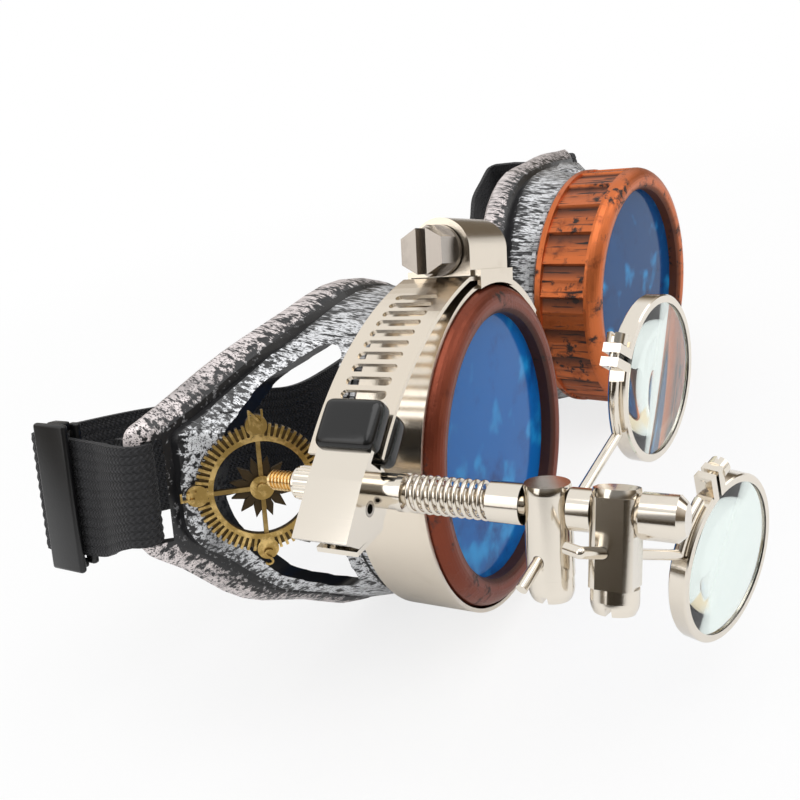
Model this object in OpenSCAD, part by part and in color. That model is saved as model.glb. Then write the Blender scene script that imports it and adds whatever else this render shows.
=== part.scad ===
// Round-cup goggles with ribbed copper rings, a hose clamp and a clip-on double loupe.
// Millimetres. The goggles look along -Y, +Z is up and +X is the wearer's left.
// Each eye has its own frame: origin at the centre of the ring's front, +Y towards the face.

/* [Layout] */
// Distance between the centres of the two rings
eye_gap = 80; // [78:1:90]
// How far each ring is turned in towards the nose, in degrees
toe_in = 4; // [0:1:6]
// Lift of the strap lugs above the horizontal, in degrees
lug_lift = 16; // [10:1:20]

/* [Lenses and rings] */
// Radius of the eye lens
lens_r = 25; // [24:0.5:27]
// Thickness of the eye lens
lens_t = 2.2; // [1.6:0.2:3]
// Depth of the lens face behind the front of the ring
lens_sink = 2; // [1.5:0.1:3]
// Clearance round the edge of the eye lens
lens_play = 0.3; // [0.2:0.05:0.5]
// Width of the ledge that holds the lens in the ring
ledge_w = 1; // [0.6:0.1:1.6]
// Distance from the lens edge out to the tips of the ribs
ring_wall = 4; // [3.7:0.1:5]
// Length of a ring from its front plane
ring_len = 14.5; // [14:0.1:16]
// Number of ribs round a ring
rib_count = 24; // [18:1:30]
// Height of a rib's step
rib_depth = 0.8; // [0.4:0.1:1]
// Thickness of the soft ring behind the lens
gasket_t = 1.2; // [0.8:0.1:1.8]
// Width of the soft ring behind the lens
gasket_w = 1.5; // [1:0.1:2]
// Clearance of the ring's thread over the socket
thread_play = 0.08; // [0.05:0.01:0.1]

/* [Cups] */
// Thickness of the moulded wall
cup_wall = 2.1; // [1.8:0.1:2.5]
// Radius of the face rim on the nose side
rim_r = 31; // [30.5:0.5:33]
// Distance from the ring's front plane back to the face rim, on the eye's axis
cup_depth = 32.2; // [31:0.2:36]
// Slant of the face rim, in degrees: deeper towards the strap
rim_slant = 8.8; // [7:0.2:10]
// Distance from the eye's axis out to the end of the strap lug
lug_reach = 52; // [51:0.5:53]
// Thickness of the band along the face rim
rim_t = 2.5; // [2.2:0.1:2.8]
// Distance from the front plane to the front edge of the side window
window_start = 18.4; // [17.5:0.1:19]
// Length of the side window towards the face
window_len = 12.6; // [11.4:0.1:13]
// Height of the side window along its front edge
window_h = 43; // [39:0.5:44]
// Width of the raised frame round the side window
frame_w = 3.6; // [2:0.1:3.8]
// Height of the raised frame above the wall
frame_rise = 0.7; // [0.4:0.1:1]

/* [Clamp] */
// Width of the clamp's strip
band_w = 12.7; // [11:0.1:13]
// Thickness of the clamp's strip
band_t = 0.7; // [0.5:0.05:0.8]
// Clearance of the strip over the ring
band_play = 0.1; // [0.05:0.01:0.2]
// Direction of the worm housing, in degrees up from the wearer's right
housing_turn = 108; // [100:1:112]
// Bend radius of the strip's free tail
tail_r = 58; // [55:1:62]
// Distance between the slots in the strip
slot_pitch = 2.5; // [2.2:0.1:3]
// Length of a slot
slot_len = 8; // [6:0.2:9]
// Width of a slot
slot_w = 1.6; // [1.2:0.1:1.8]
// Size of the worm's hexagon across its flats
hex_flats = 7.5; // [7:0.5:8]

/* [Clip] */
// Thickness of the clip's sheet
sheet_t = 0.8; // [0.6:0.05:1]
// Width of the outer lever
lever_w = 9; // [8.4:0.1:9.4]
// Thickness of a rubber sleeve on a jaw
sleeve_t = 4; // [3.2:0.1:4.2]
// Length of a rubber sleeve
sleeve_len = 7; // [6:0.5:7.5]
// Radius of the pin on which the levers turn
pin_r = 1.1; // [0.9:0.05:1.2]
// Curls of the spring on the pin
clip_curls = 4; // [3:1:5]

/* [Loupe] */
// Radius of the loupe's rod
rod_r = 1.5; // [1.2:0.05:1.6]
// Running clearance round the rod, the pin and the screws
run_play = 0.05; // [0.02:0.01:0.08]
// Outer radius of the collars and sleeves on the rod
rod_sleeve_r = 2.75; // [2.5:0.05:3]
// Curls of the spring on the rod
spring_curls = 10; // [8:1:10]
// Radius of the rod spring's wire
spring_wire_r = 0.32; // [0.25:0.01:0.33]
// Radius of the turning posts
post_r = 3.1; // [2.9:0.05:3.3]
// Distance from the rod's axis to the arm's hole in a post
arm_drop = 5; // [4.6:0.1:5.4]
// Radius of the loupe's wire arms
wire_r = 0.75; // [0.6:0.05:0.8]
// Radius of a loupe lens
loupe_r = 12; // [11:0.25:12.5]
// Distance from the rear post to its lens centre
rear_reach = 35.4; // [34:0.2:37]
// Distance from the front post to its lens centre
front_reach = 29.7; // [29:0.1:31]

/* [Compass] */
// Outer radius of the compass ring
compass_r = 10.25; // [9:0.25:11]
// Thickness of the compass
compass_t = 1.4; // [1:0.1:1.8]
// Number of flutes round the compass ring
flute_count = 60; // [40:4:72]

/* [Straps] */
// Width of the elastic strap
strap_w = 20; // [16:0.5:21]
// Thickness of the elastic strap
strap_t = 1.4; // [1:0.1:1.6]
// Width of the nose bridge
bridge_w = 12; // [8:0.5:14]
// Thickness of the nose bridge
bridge_t = 1.6; // [1:0.1:2]

/* [Hidden] */
smooth = 96;
fine = 48;

// Ring, from its front plane back
ring_r = lens_r + ring_wall;
ledge_r = lens_r - ledge_w;
pocket_r = lens_r + lens_play;
socket_y = lens_sink + lens_t + gasket_t;
socket_bore = lens_r - gasket_w;
socket_r = lens_r + 2.1;
ring_bore = socket_r + thread_play;
face_round = 3;
face_stand = 1;
lip_len = 1.9;
lip_r = ring_r + 0.2;
rib_front = face_round - face_stand + 0.2;
rib_back = ring_len - lip_len;
rib_root = ring_r - rib_depth;

// Cup wall, from a circle behind the ring to the slanted rim with its lug
flange_y = ring_len + 0.2;
flange_t = 1.5;
flange_r = ring_r - 0.4;
wall_y = flange_y + flange_t - 0.4;
wall_r = flange_r - 0.3;
lug_round = 2.5;
lug_x = lug_reach - lug_round;
lug_z = strap_w / 2 + 0.5;
top_bulge = 0.9;
low_round = 7;
low_x = lug_reach - low_round;
low_z = 2.8;
low_bulge = 2.6;
low_stretch = 1.07;
lug_deep = cup_depth + tan(rim_slant) * lug_reach;
wall_slope = atan2(lug_deep - wall_y, lug_reach - wall_r);
window_round = 3;
window_shoulder = 4;
window_nose = 7;
hole_near = 2;
hole_wide = 3.2;
hole_z = 2.05;
hole_half = 8.25;
strap_pinch = 0.79;
tab_reach = max(rim_r, wall_r + 2.7) + 6.2;
tab_y = 21.5;
tab_t = 2;
tab_half = bridge_w / 2 + 0.5;
stud_r = 1.5;
stud_x = tab_reach - 3.4;

// Clamp: strip, tail and housing
band_y = 1;
band_r = lip_r + band_play;
band_mid = band_y + band_w / 2;
lap_r = band_r + band_t;
lap_top = lap_r + band_t;
tail_top = lap_r + 1.8;
tail_z = tail_top - tail_r;
tail_start = 104;
tail_turn = 39.5;
first_slot = 3;
housing_len = 16;
cover_r = 5.6;
cover_t = 0.7;
worm_z = lap_top + 4.5;
neck_r = 3.6;
neck_len = 3;
worm_r = 3.4;
head_x = -housing_len / 2 - 1.6;
head_len = 5.2;

// Clip: its jaws grip the tail; its own frame has the rod's axis as origin, X along the jaws, Z outwards
clip_up = 36.87;
jaw_mid = 6.41;
rod_below = 2.385;
clip_x = -tail_r * sin(clip_up) - jaw_mid * cos(clip_up) + rod_below * sin(clip_up);
clip_z = tail_z + tail_r * cos(clip_up) - jaw_mid * sin(clip_up) - rod_below * cos(clip_up);
rod_at = [clip_x, 0, clip_z];
lever_y = band_mid - lever_w / 2 - 1.5;
pivot = [-3.4, 1.6];
jaw_in = 3.9;
jaw_out = 11.4;
jaw_seat = band_t / 2 + sleeve_t / 2 + 0.05;
jaw_drop = pow(jaw_out - jaw_mid, 2) / (2 * tail_r);
outer_jaw_z = rod_below + jaw_seat;
inner_jaw_z = rod_below - jaw_drop - jaw_seat;

// Stations along the rod, from its rear end forwards
thread_end = 21;
nut_front = lever_y + lever_w;
nut_back = nut_front + 5.15;
nut_r = 2.6;
thread_r = rod_r - 0.2;
thread_from = nut_back + 0.4;
collar_back = lever_y;
collar_front = -3;
spring_back = -3.3;
spring_front = -15.7;
rear_block_y = -23.4;
rear_block_half = post_r;
front_sleeve_back = rear_block_y - rear_block_half - 0.05;
front_sleeve_front = -29.45;
front_block_y = -32.2;
front_block_half = 2.7;
cap_back = front_block_y - front_block_half - 0.05;
cap_front = -40.7;
rear_tilt = 15;
front_tilt = 25;
rear_aim = [-9.5, -11.7];
front_aim = [-18, 33.3];
post_low = 9;
screw_head = 3;
rim_wall = 0.7;
rim_half = 1.3;
arm_wrap = 35;

// Points of a circular arc from angle a to angle b
function arc(x, y, r, a, b, n) = [for (i = [0:n]) [x + r * cos(a + (b - a) * i / n),
    y + r * sin(a + (b - a) * i / n)]];

// A revolved shape round the eye's axis: the outline gives radius and distance from the front plane
module revolved(n = smooth) {
    rotate([-90, 0, 0]) rotate_extrude($fn = n) children();
}

// A cylinder along the eye's axis from y0 back to y1
module bar_y(r, y0, y1, n = fine) {
    translate([0, y0, 0]) rotate([-90, 0, 0]) cylinder(r = r, h = y1 - y0, $fn = n);
}

// An outline in X and Z, given depth from y0 back to y1
module plate(y0, y1) {
    translate([0, y1, 0]) rotate([90, 0, 0]) linear_extrude(y1 - y0) children();
}

// A strip of constant thickness along a line of points
module strip(points, t) {
    last = len(points) - 1;
    normals = [for (i = [0:last])
        let (d = points[min(i + 1, last)] - points[max(i - 1, 0)]) [-d.y, d.x] / norm(d)];
    side = [for (i = [0:last]) points[i] + normals[i] * t / 2];
    back = [for (i = [last:-1:0]) points[i] - normals[i] * t / 2];
    polygon(concat(side, back));
}

// A closed tube of triangles through rings of points
function tube_faces(rings, n, ends) = concat(
    [for (k = [0:rings - 2], i = [0:n - 1], half = [0, 1])
        let (j = (i + 1) % n)
            half == 0 ? [k * n + i, (k + 1) * n + i, (k + 1) * n + j] : [k * n + i, (k + 1) * n + j, k * n + j]],
    ends ? [[for (i = [0:n - 1]) i]] : [],
    ends ? [[for (i = [n - 1:-1:0]) (rings - 1) * n + i]] : []);

// Places for the two eyes
module right_eye() {
    translate([-eye_gap / 2, 0, 0]) rotate([0, 0, toe_in]) children();
}

module left_eye() {
    mirror([1, 0, 0]) right_eye() children();
}

module lug_frame() {
    rotate([0, lug_lift, 0]) children();
}

// Ribbed retaining ring: rounded face, ledge for the lens, saw-tooth ribs and a plain rear lip
module ring() {
    step = 360 / rib_count;
    teeth = [for (i = [0:rib_count - 1], k = [[0, rib_root], [0.42, rib_root + rib_depth * 0.55],
        [0.52, rib_root + rib_depth * 0.5], [0.93, ring_r]])
        k[1] * [cos((i + k[0]) * step), sin((i + k[0]) * step)]];
    color("peru") union() {
        revolved() polygon(concat(
            [[ledge_r, lens_sink], [ledge_r, 0], [ledge_r + 0.7, -0.8]],
            arc(ring_r - face_round, face_round - face_stand, face_round, -90, 0, 8),
            [[rib_root, rib_front], [rib_root, rib_back], [lip_r, rib_back + 0.2], [lip_r, ring_len - 0.4],
            [lip_r - 0.4, ring_len], [ring_bore, ring_len], [ring_bore, socket_y], [pocket_r, socket_y],
            [pocket_r, lens_sink]]));
        translate([0, rib_front - 0.6, 0]) rotate([-90, 0, 0]) linear_extrude(rib_back - rib_front + 0.8)
            difference() {
                polygon(teeth);
                circle(r = rib_root - 0.5, $fn = smooth);
            }
    }
}

// Flat eye lens with a small bevel
module eye_lens() {
    bevel = 0.3;
    color("royalblue") revolved() polygon([[0, lens_sink], [lens_r - bevel, lens_sink],
        [lens_r, lens_sink + bevel], [lens_r, lens_sink + lens_t - bevel],
        [lens_r - bevel, lens_sink + lens_t], [0, lens_sink + lens_t]]);
}

module eye_gasket() {
    color("dimgray") revolved() translate([socket_bore, lens_sink + lens_t]) square([gasket_w, gasket_t]);
}

// Half of the face rim seen along the eye's axis, as [x, z] points: the circle of the nose side, drawn out
// along a bulging side to a corner of radius r round (-x, z)
function rim_side(x, z, r, bulge) =
    let (turn = atan2(z, -x) - acos((rim_r - r) / norm([x, z])), out = [cos(turn), sin(turn)],
        p = rim_r * out, q = [-x, z] + r * out)
        concat(arc(0, 0, rim_r, 0, turn, 12),
            [for (i = [1:7]) p + (q - p) * i / 8 + out * bulge * (1 - cos(45 * i)) / 2],
            arc(-x, z, r, turn, 180, 4));

// The whole rim: nearly straight above, fuller below
rim_top = rim_side(lug_x, lug_z, lug_round, top_bulge);
rim_low = rim_side(low_x, low_z, low_round, low_bulge);
rim_points = concat(rim_top, [for (i = [len(rim_low) - 1:-1:1]) [rim_low[i].x, -low_stretch * rim_low[i].y]]);

// A point of the cup wall beside rim point p: away from the rim by d along the wall, out by h, back by v
function wall_point(p, d, h, v) =
    let (out = norm(p), dir = p / out, deep = cup_depth - tan(rim_slant) * p.x,
        run = norm([out - wall_r, deep - wall_y]), s = d < 0 ? 0 : 1 - d / run,
        r = wall_r + s * (out - wall_r) + h)
        [r * dir.x, wall_y + s * (deep - wall_y) + v, r * dir.y];

// A closed shell along the cup wall through a loop of [d, h, v] offsets; d below zero is the front circle
module wall_shell(loop) {
    rings = [for (k = [0:len(loop)]) loop[k % len(loop)]];
    n = len(rim_points);
    faces = [for (f = tube_faces(len(rings), n, false)) [for (i = [2:-1:0]) f[i] % (n * len(loop))]];
    polyhedron([for (k = loop, p = rim_points) wall_point(p, k[0], k[1], k[2])], faces, convexity = 6);
}

// Side window's outline in [y, z], a D with its straight edge in front, grown by g
module window_outline(g) {
    high = window_h / 2 - window_round;
    hull() {
        for (side = [-1, 1]) {
            translate([window_start + window_round, side * high]) circle(r = window_round + g, $fn = fine);
            translate([window_start + window_shoulder + 2, side * (high - window_shoulder)])
                circle(r = window_shoulder + g, $fn = fine);
        }
        translate([window_start + window_len - window_nose, 0]) circle(r = window_nose + g, $fn = fine);
    }
}

// The outline cut sideways through the outer wall only
module window_prism(g) {
    translate([-lug_reach - 5, 0, 0]) rotate([90, 0, 90]) linear_extrude(lug_reach - 10) window_outline(g);
}

// Moulded cup: threaded socket, flange, lofted wall, banded rim, framed side window and strap hole
module cup() {
    inner = 0.95 * cup_wall;
    groove = 1.4;
    edge = [[5.6, -0.2, 0], [4.2, 0.35, 0], [2.4, 0.5, 0], [0.9, 0.3, 0], [0.15, -0.3, 0], [0, -1.1, 0],
        [0.2, 0.6 - rim_t, 0], [0.8, -rim_t, 0], [5.2, -rim_t, 0]];
    hole_mid = hole_near + hole_wide / 2;
    color("slategray") difference() {
        union() {
            revolved() polygon([[socket_bore, socket_y], [socket_r - 0.5, socket_y], [socket_r, socket_y + 0.5],
                [socket_r, flange_y], [flange_r - 0.3, flange_y], [flange_r, flange_y + 0.3],
                [flange_r, flange_y + flange_t - 0.3], [flange_r - 0.3, flange_y + flange_t],
                [socket_bore, flange_y + flange_t]]);
            lug_frame() {
                wall_shell(concat([[-1, 0, 0], [8.4, 0, 0], [6.4, -groove, 0]], edge,
                    [[6.2, -groove - inner, 0.9], [8.8, -inner, 0.95], [-1, -inner, 0]]));
                intersection() {
                    wall_shell([[-1, frame_rise, 0.2], [8.6, frame_rise, 0], [8.6, -cup_wall / 2, 0.5],
                        [-1, -cup_wall / 2, 0.2]]);
                    window_prism(frame_w);
                }
            }
            plate(tab_y, tab_y + tab_t) translate([tab_reach - tab_half, 0]) intersection() {
                circle(r = tab_half, $fn = fine);
                translate([-1, -tab_half]) square([tab_half + 1, 2 * tab_half]);
            }
            translate([wall_r + 0.4, tab_y, -tab_half])
                cube([tab_reach - tab_half - wall_r - 0.4 + 0.01, tab_t, 2 * tab_half]);
        }
        lug_frame() {
            window_prism(0);
            translate([rim_t / 2 - lug_reach + hole_mid * cos(wall_slope), lug_deep - hole_mid * sin(wall_slope),
                hole_z]) rotate([0, 0, 180 - wall_slope]) cube([hole_wide, 9, 2 * hole_half], center = true);
        }
        translate([stud_x, 0, 0]) bar_y(stud_r, tab_y - 1, tab_y + tab_t + 1);
    }
}

// Compass rose: fluted ring, thin spokes, petals and hub
module compass() {
    inner_r = compass_r * 0.73;
    lug_r = compass_r + 0.9;
    along = 9.56;
    stand = frame_rise + 0.05;
    color("darkgoldenrod") lug_frame()
        translate([-wall_r - along, wall_y + along * tan(wall_slope), 1.2]) rotate([0, 0, 90 - wall_slope])
        translate([-stand, 0, 0]) rotate([0, -90, 0]) union() {
            difference() {
                union() {
                    cylinder(r = compass_r - 0.5, h = compass_t * 0.7, $fn = smooth);
                    for (i = [0:flute_count - 1]) rotate(i * 360 / flute_count)
                        translate([inner_r + 0.6, -0.22, 0]) cube([compass_r - inner_r - 0.6, 0.44, compass_t]);
                    difference() {
                        cylinder(r = inner_r + 0.8, h = compass_t, $fn = smooth);
                        translate([0, 0, -1]) cylinder(r = inner_r, h = compass_t + 2, $fn = smooth);
                    }
                    for (a = [0:90:270]) rotate(a) translate([lug_r - 1.2, 0, 0])
                        cylinder(r = 1.7, h = compass_t, $fn = 24);
                }
                translate([0, 0, -1]) cylinder(r = inner_r - 0.02, h = compass_t + 2, $fn = smooth);
            }
            for (a = [0:90:270]) rotate(a) translate([1, -0.35, 0.2]) cube([inner_r - 0.6, 0.7, compass_t - 0.4]);
            for (i = [0:11]) rotate(15 + i * 30) linear_extrude(compass_t * 0.6)
                polygon([[0.8, -0.35], [3.2, -0.75], [5, 0], [3.2, 0.75], [0.8, 0.35]]);
            cylinder(r = 1.9, h = compass_t, $fn = fine);
            cylinder(r = 0.8, h = compass_t + 0.4, $fn = 24);
        }
}

// Line of the clamp's tail: leaves the lap, lifts to the top and springs off outwards
tail_line = concat([(lap_r + band_t / 2) * [-cos(tail_start), sin(tail_start)]],
    [for (i = [0:20]) [-tail_r * sin(tail_turn * i / 20), tail_z + tail_r * cos(tail_turn * i / 20)]]);

// Perforated strip: once round the ring, lapped under the housing, with its free tail
module clamp_band() {
    slots = floor(tail_turn * tail_r * PI / 180 / slot_pitch - first_slot);
    color("silver") difference() {
        union() {
            revolved() translate([band_r, band_y]) square([band_t, band_w]);
            rotate([-90, 0, 0]) rotate([0, 0, 180]) translate([0, 0, band_y])
                rotate([0, 0, tail_start - 0.5]) rotate_extrude(angle = 46, $fn = smooth)
                    translate([lap_r, 0]) square([band_t, band_w]);
            plate(band_y, band_y + band_w) strip(tail_line, band_t);
        }
        for (i = [0:slots]) translate([0, band_mid, tail_z])
            rotate([0, -(first_slot + i) * slot_pitch / tail_r * 180 / PI, 0]) {
                translate([0, 0, tail_r]) cube([slot_w, slot_len - slot_w, 4 * band_t], center = true);
                for (s = [-1, 1]) translate([0, s * (slot_len - slot_w) / 2, tail_r])
                    cylinder(r = slot_w / 2, h = 4 * band_t, center = true, $fn = 24);
            }
    }
}

module housing_frame() {
    rotate([0, housing_turn - 90, 0]) children();
}

// Stamped worm housing: domed cover, narrower neck, side skirts that hold the strip
module clamp_housing() {
    skirt = 0.7;
    skirt_low = lip_r + band_play;
    saddle = 7;
    cover_in = cover_r - cover_t;
    color("silver") difference() {
        housing_frame() union() {
            translate([0, band_mid, worm_z]) rotate([0, 90, 0])
                cylinder(r = cover_r, h = housing_len, center = true, $fn = smooth);
            translate([-housing_len / 2, band_mid - cover_r, lap_top])
                cube([housing_len, 2 * cover_r, worm_z - lap_top]);
            translate([housing_len / 2 - 0.1, band_mid, worm_z - 0.6]) rotate([0, 90, 0])
                cylinder(r = neck_r, h = neck_len + 0.1, $fn = fine);
            translate([-saddle, band_y - skirt, skirt_low - 1]) cube([2 * saddle, band_w + 2 * skirt, 3.4]);
        }
        bar_y(skirt_low, -2, band_w + 5, smooth);
        bar_y(lap_top + 0.05, band_y - 0.05, band_y + band_w + 0.05, smooth);
        plate(band_y - 0.05, band_y + band_w + 0.05) strip(tail_line, band_t + 0.3);
        housing_frame() {
            translate([0, band_mid, worm_z]) rotate([0, 90, 0])
                cylinder(r = cover_in, h = housing_len - 2 * cover_t, center = true, $fn = smooth);
            translate([-housing_len / 2 + cover_t, band_mid - cover_in, lap_top - 4])
                cube([housing_len - 2 * cover_t, 2 * cover_in, worm_z - lap_top + 4]);
            translate([-housing_len, band_mid, worm_z]) rotate([0, 90, 0])
                cylinder(r = worm_r * 0.6 + run_play, h = 2 * housing_len, $fn = fine);
        }
    }
}

// Worm screw: grooved worm in the cover, flange and slotted hexagon head outside
module worm_screw() {
    slot = 1.8;
    flange = 4.4;
    shaft = worm_r * 0.6;
    color("gainsboro") housing_frame() translate([0, band_mid, worm_z]) rotate([0, 90, 0]) difference() {
        union() {
            translate([0, 0, head_x])
                cylinder(r = shaft, h = housing_len / 2 + neck_len - head_x - 0.5, $fn = fine);
            for (i = [0:5]) translate([0, 0, -housing_len / 2 + cover_t + 0.8 + i * slot_pitch])
                cylinder(r1 = worm_r, r2 = worm_r - 0.8, h = 1.2, $fn = fine);
            translate([0, 0, head_x]) cylinder(r = flange, h = 1.1, $fn = fine);
            translate([0, 0, head_x - head_len])
                cylinder(r = hex_flats / 2 / cos(30), h = head_len + 0.1, $fn = 6);
        }
        translate([-hex_flats, -slot / 2, head_x - head_len - 1]) cube([2 * hex_flats, slot, 3.2]);
    }
}

module clip_frame() {
    translate(rod_at) rotate([0, -clip_up, 0]) children();
}

// A loose hole across the clip's sheet at a place in its side view
module cross_hole(at, r) {
    translate([at.x, lever_y - 2, at.y]) rotate([-90, 0, 0]) cylinder(r = r, h = lever_w + 4, $fn = fine);
}

// Outer lever: jaw, finger plate and two cheeks that carry the rod and turn on the pin
module clip_outer_lever() {
    color("gainsboro") clip_frame() difference() {
        union() {
            plate(lever_y, lever_y + lever_w) strip([[jaw_out, outer_jaw_z], [jaw_in, outer_jaw_z],
                [-0.8, outer_jaw_z + 0.2], [-9.7, outer_jaw_z - 0.2]], sheet_t);
            for (y = [lever_y, lever_y + lever_w - sheet_t]) plate(y, y + sheet_t)
                polygon([[2.2, outer_jaw_z + 0.1], [-0.8, outer_jaw_z + 0.2], [-9.7, outer_jaw_z - 0.2],
                    [-9.2, 1.6], [-4.6, -2.6], [-2.4, -2.9], [1.2, -2.4], [2.4, -0.8]]);
        }
        cross_hole([0, 0], rod_r);
        cross_hole(pivot, pin_r + run_play);
    }
}

// Inner lever: jaw under the strip, bend below the rod, cheeks on the pin and finger tab
module clip_inner_lever() {
    inset = sheet_t + 0.3;
    low = lever_y + inset;
    high = lever_y + lever_w - inset;
    color("gainsboro") clip_frame() difference() {
        union() {
            plate(low, high) strip([[jaw_out, inner_jaw_z], [jaw_in - 0.2, inner_jaw_z], [3.15, inner_jaw_z - 0.3],
                [2.9, -1.2], [2.5, -2.3], [1.6, -3], [-1, -3.5], [-4.2, -4.6], [-9.6, -0.1]], sheet_t);
            for (y = [low, high - sheet_t]) plate(y, y + sheet_t)
                polygon([[-2.25, 2.8], [-4.6, 2.8], [-5.6, 1], [-6, -2.9], [-4.2, -4.4], [-2.2, -3.9]]);
        }
        cross_hole(pivot, pin_r);
    }
}

// Rolled pin through all four cheeks
module clip_pin() {
    bore = 0.65;
    color("gray") clip_frame() difference() {
        translate([pivot.x, lever_y, pivot.y]) rotate([-90, 0, 0])
            cylinder(r = pin_r, h = lever_w, $fn = fine);
        cross_hole(pivot, pin_r * bore);
    }
}

// Rubber sleeve round a jaw plate, with a slit for the sheet
module jaw_sleeve(z) {
    grip = lever_w + 1;
    round_r = 1.2;
    z0 = z - sleeve_t / 2;
    color("black") clip_frame() difference() {
        translate([jaw_in + round_r - 0.4, 0, z0 + round_r]) plate(lever_y - 0.5, lever_y - 0.5 + grip)
            union() {
                w = sleeve_len + 1 - 2 * round_r;
                h = sleeve_t - 2 * round_r;
                translate([0, -round_r]) square([w, sleeve_t]);
                translate([-round_r, 0]) square([sleeve_len + 1, h]);
                for (x = [0, w], y = [0, h]) translate([x, y]) circle(r = round_r, $fn = 32);
            }
        translate([0, lever_y - run_play, z - sheet_t / 2 - run_play])
            cube([jaw_out + run_play, lever_w + 2 * run_play, sheet_t + 2 * run_play]);
    }
}

// Points of a wire coil along Y, eight rings a curl
function coil_path(r, y0, y1, curls) = [for (i = [0:curls * 8])
    [r * cos(i * 45), y0 + (y1 - y0) * i / (curls * 8), r * sin(i * 45)]];

// Frame of a ring of the swept wire: middle, then the six corners square to the path
function swept(path, r, sides) = [for (i = [0:len(path) - 1])
    let (d = path[min(i + 1, len(path) - 1)] - path[max(i - 1, 0)], t = d / norm(d),
        ref = abs(t.y) > 0.9 ? [1, 0, 0] : [0, 1, 0], u0 = cross(t, ref), u = u0 / norm(u0), v = cross(t, u))
        for (k = [0:sides - 1]) path[i] + r * (cos(k * 360 / sides) * u + sin(k * 360 / sides) * v)];

module wire_coil(path, r) {
    polyhedron(swept(path, r, 6), tube_faces(len(path), 6, true), convexity = 10);
}

// Least gap of a wire to itself, measured between points of the path half a curl apart or more
function coil_gap(path, r) = min([for (i = [0:len(path) - 5], j = [i + 4:len(path) - 1]) norm(path[i] - path[j])])
    - 2 * r;

// Torsion spring round the pin, its legs lying along the two levers
module clip_spring() {
    wire = 0.22;
    coil_r = pin_r + 0.5;
    y0 = lever_y + 2.6;
    y1 = lever_y + lever_w - 2.6;
    coil = coil_path(coil_r, y0, y1, clip_curls);
    path = concat([[coil_r, y0, -3.4], [coil_r, y0, -2.2], [coil_r, y0, -1]], coil,
        [[coil_r, y1, 1], [coil_r - 0.4, y1, 1.7], [coil_r - 2, y1, 1.9], [coil_r - 3.6, y1, 2]]);
    echo(clip_spring_gap = coil_gap(path, wire));
    color("gray") clip_frame() translate([pivot.x, 0, pivot.y]) wire_coil(path, wire);
}

module on_rod() {
    translate(rod_at) children();
}

// Rod of the loupe with its finer thread end
module loupe_rod() {
    relief = 0.3;
    color("silver") on_rod() union() {
        bar_y(rod_r, cap_front + 2, thread_from - relief);
        bar_y(thread_r - relief, thread_from - relief - 0.1, thread_from + 0.1);
        bar_y(thread_r, thread_from, thread_end - 0.4);
        bar_y(thread_r - 0.3, thread_end - 0.5, thread_end);
    }
}

// Knurled nut that pinches the clip's cheek
module knurled_nut() {
    knurls = 24;
    knurl_r = 0.25;
    color("silver") on_rod() difference() {
        union() {
            bar_y(nut_r - 0.15, nut_front, nut_back);
            for (i = [0:knurls - 1]) rotate([0, i * 360 / knurls, 0])
                translate([nut_r - knurl_r, nut_front + 0.4, 0]) rotate([-90, 0, 0])
                    cylinder(r = knurl_r, h = nut_back - nut_front - 0.8, $fn = 6);
        }
        bar_y(rod_r + run_play, nut_front - 1, nut_back + 1);
    }
}

// A plain sleeve on the rod
module rod_sleeve(y0, y1, r, lip) {
    color("silver") on_rod() difference() {
        union() {
            bar_y(r, y0, y1);
            if (lip > 0) bar_y(r + lip, y0, y0 + 1);
        }
        bar_y(rod_r, y0 - 1, y1 + 1);
    }
}

// Compression spring between the collar and the rear sleeve, one unbroken wire
module rod_spring() {
    coil_r = rod_sleeve_r - spring_wire_r;
    lead = 2 * spring_wire_r;
    y0 = spring_front + lead;
    y1 = spring_back - lead;
    coil = coil_path(coil_r, y0, y1, spring_curls);
    path = concat([[coil_r, spring_front + 0.02, 0], [coil_r, y0 - 0.1, 0]], coil,
        [[coil_r, y1 + 0.1, 0], [coil_r, spring_back - 0.02, 0]]);
    echo(rod_spring_gap = coil_gap(path, spring_wire_r));
    color("silver") on_rod() wire_coil(path, spring_wire_r);
}

// Cap on the front end of the rod
module end_cap() {
    color("silver") on_rod() difference() {
        revolved(fine) polygon([[0, cap_front], [2, cap_front], [2.9, cap_front + 0.9], [2.9, cap_back - 0.5],
            [2.6, cap_back], [0, cap_back]]);
        bar_y(rod_r, cap_front + 1.9, cap_back + 1);
    }
}

// Place of a post: Z against the arm's side of the rod
module post_frame(y, tilt) {
    translate([clip_x, y, clip_z]) rotate([0, tilt, 0]) children();
}

// Place of an arm: X from the post's cross hole to the lens centre, Y along the lens axis
module arm_frame(y, tilt, aim) {
    translate([clip_x - arm_drop * sin(tilt), y, clip_z - arm_drop * cos(tilt)])
        rotate([0, 0, aim[0]]) rotate([0, aim[1], 0]) children();
}

// Turning post: a round or squared shank with a domed top, bores for rod, arm and screw
module block(y, tilt, aim, half, squared) {
    dome = 2.2;
    color("silver") difference() {
        post_frame(y, tilt) intersection() {
            union() {
                translate([0, 0, -post_low])
                    cylinder(r = squared ? post_r * 1.14 : post_r, h = post_low + dome, $fn = fine);
                translate([0, 0, dome]) intersection() {
                    sphere(r = post_r, $fn = fine);
                    translate([-5, -5, -2]) cube([10, 10, 3]);
                }
            }
            translate([-post_r, -half, -post_low]) cube([2 * post_r, 2 * half, post_low + 8]);
        }
        post_frame(y, tilt) bar_y(rod_r + run_play, -5, 5);
        arm_frame(y, tilt, aim) translate([-8, 0, 0]) rotate([0, 90, 0])
            cylinder(r = wire_r + run_play, h = 16, $fn = fine);
        post_frame(y, tilt) translate([0, 0, -post_low - 1])
            cylinder(r = 1 + run_play, h = post_low - arm_drop + 1, $fn = fine);
    }
}

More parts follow.
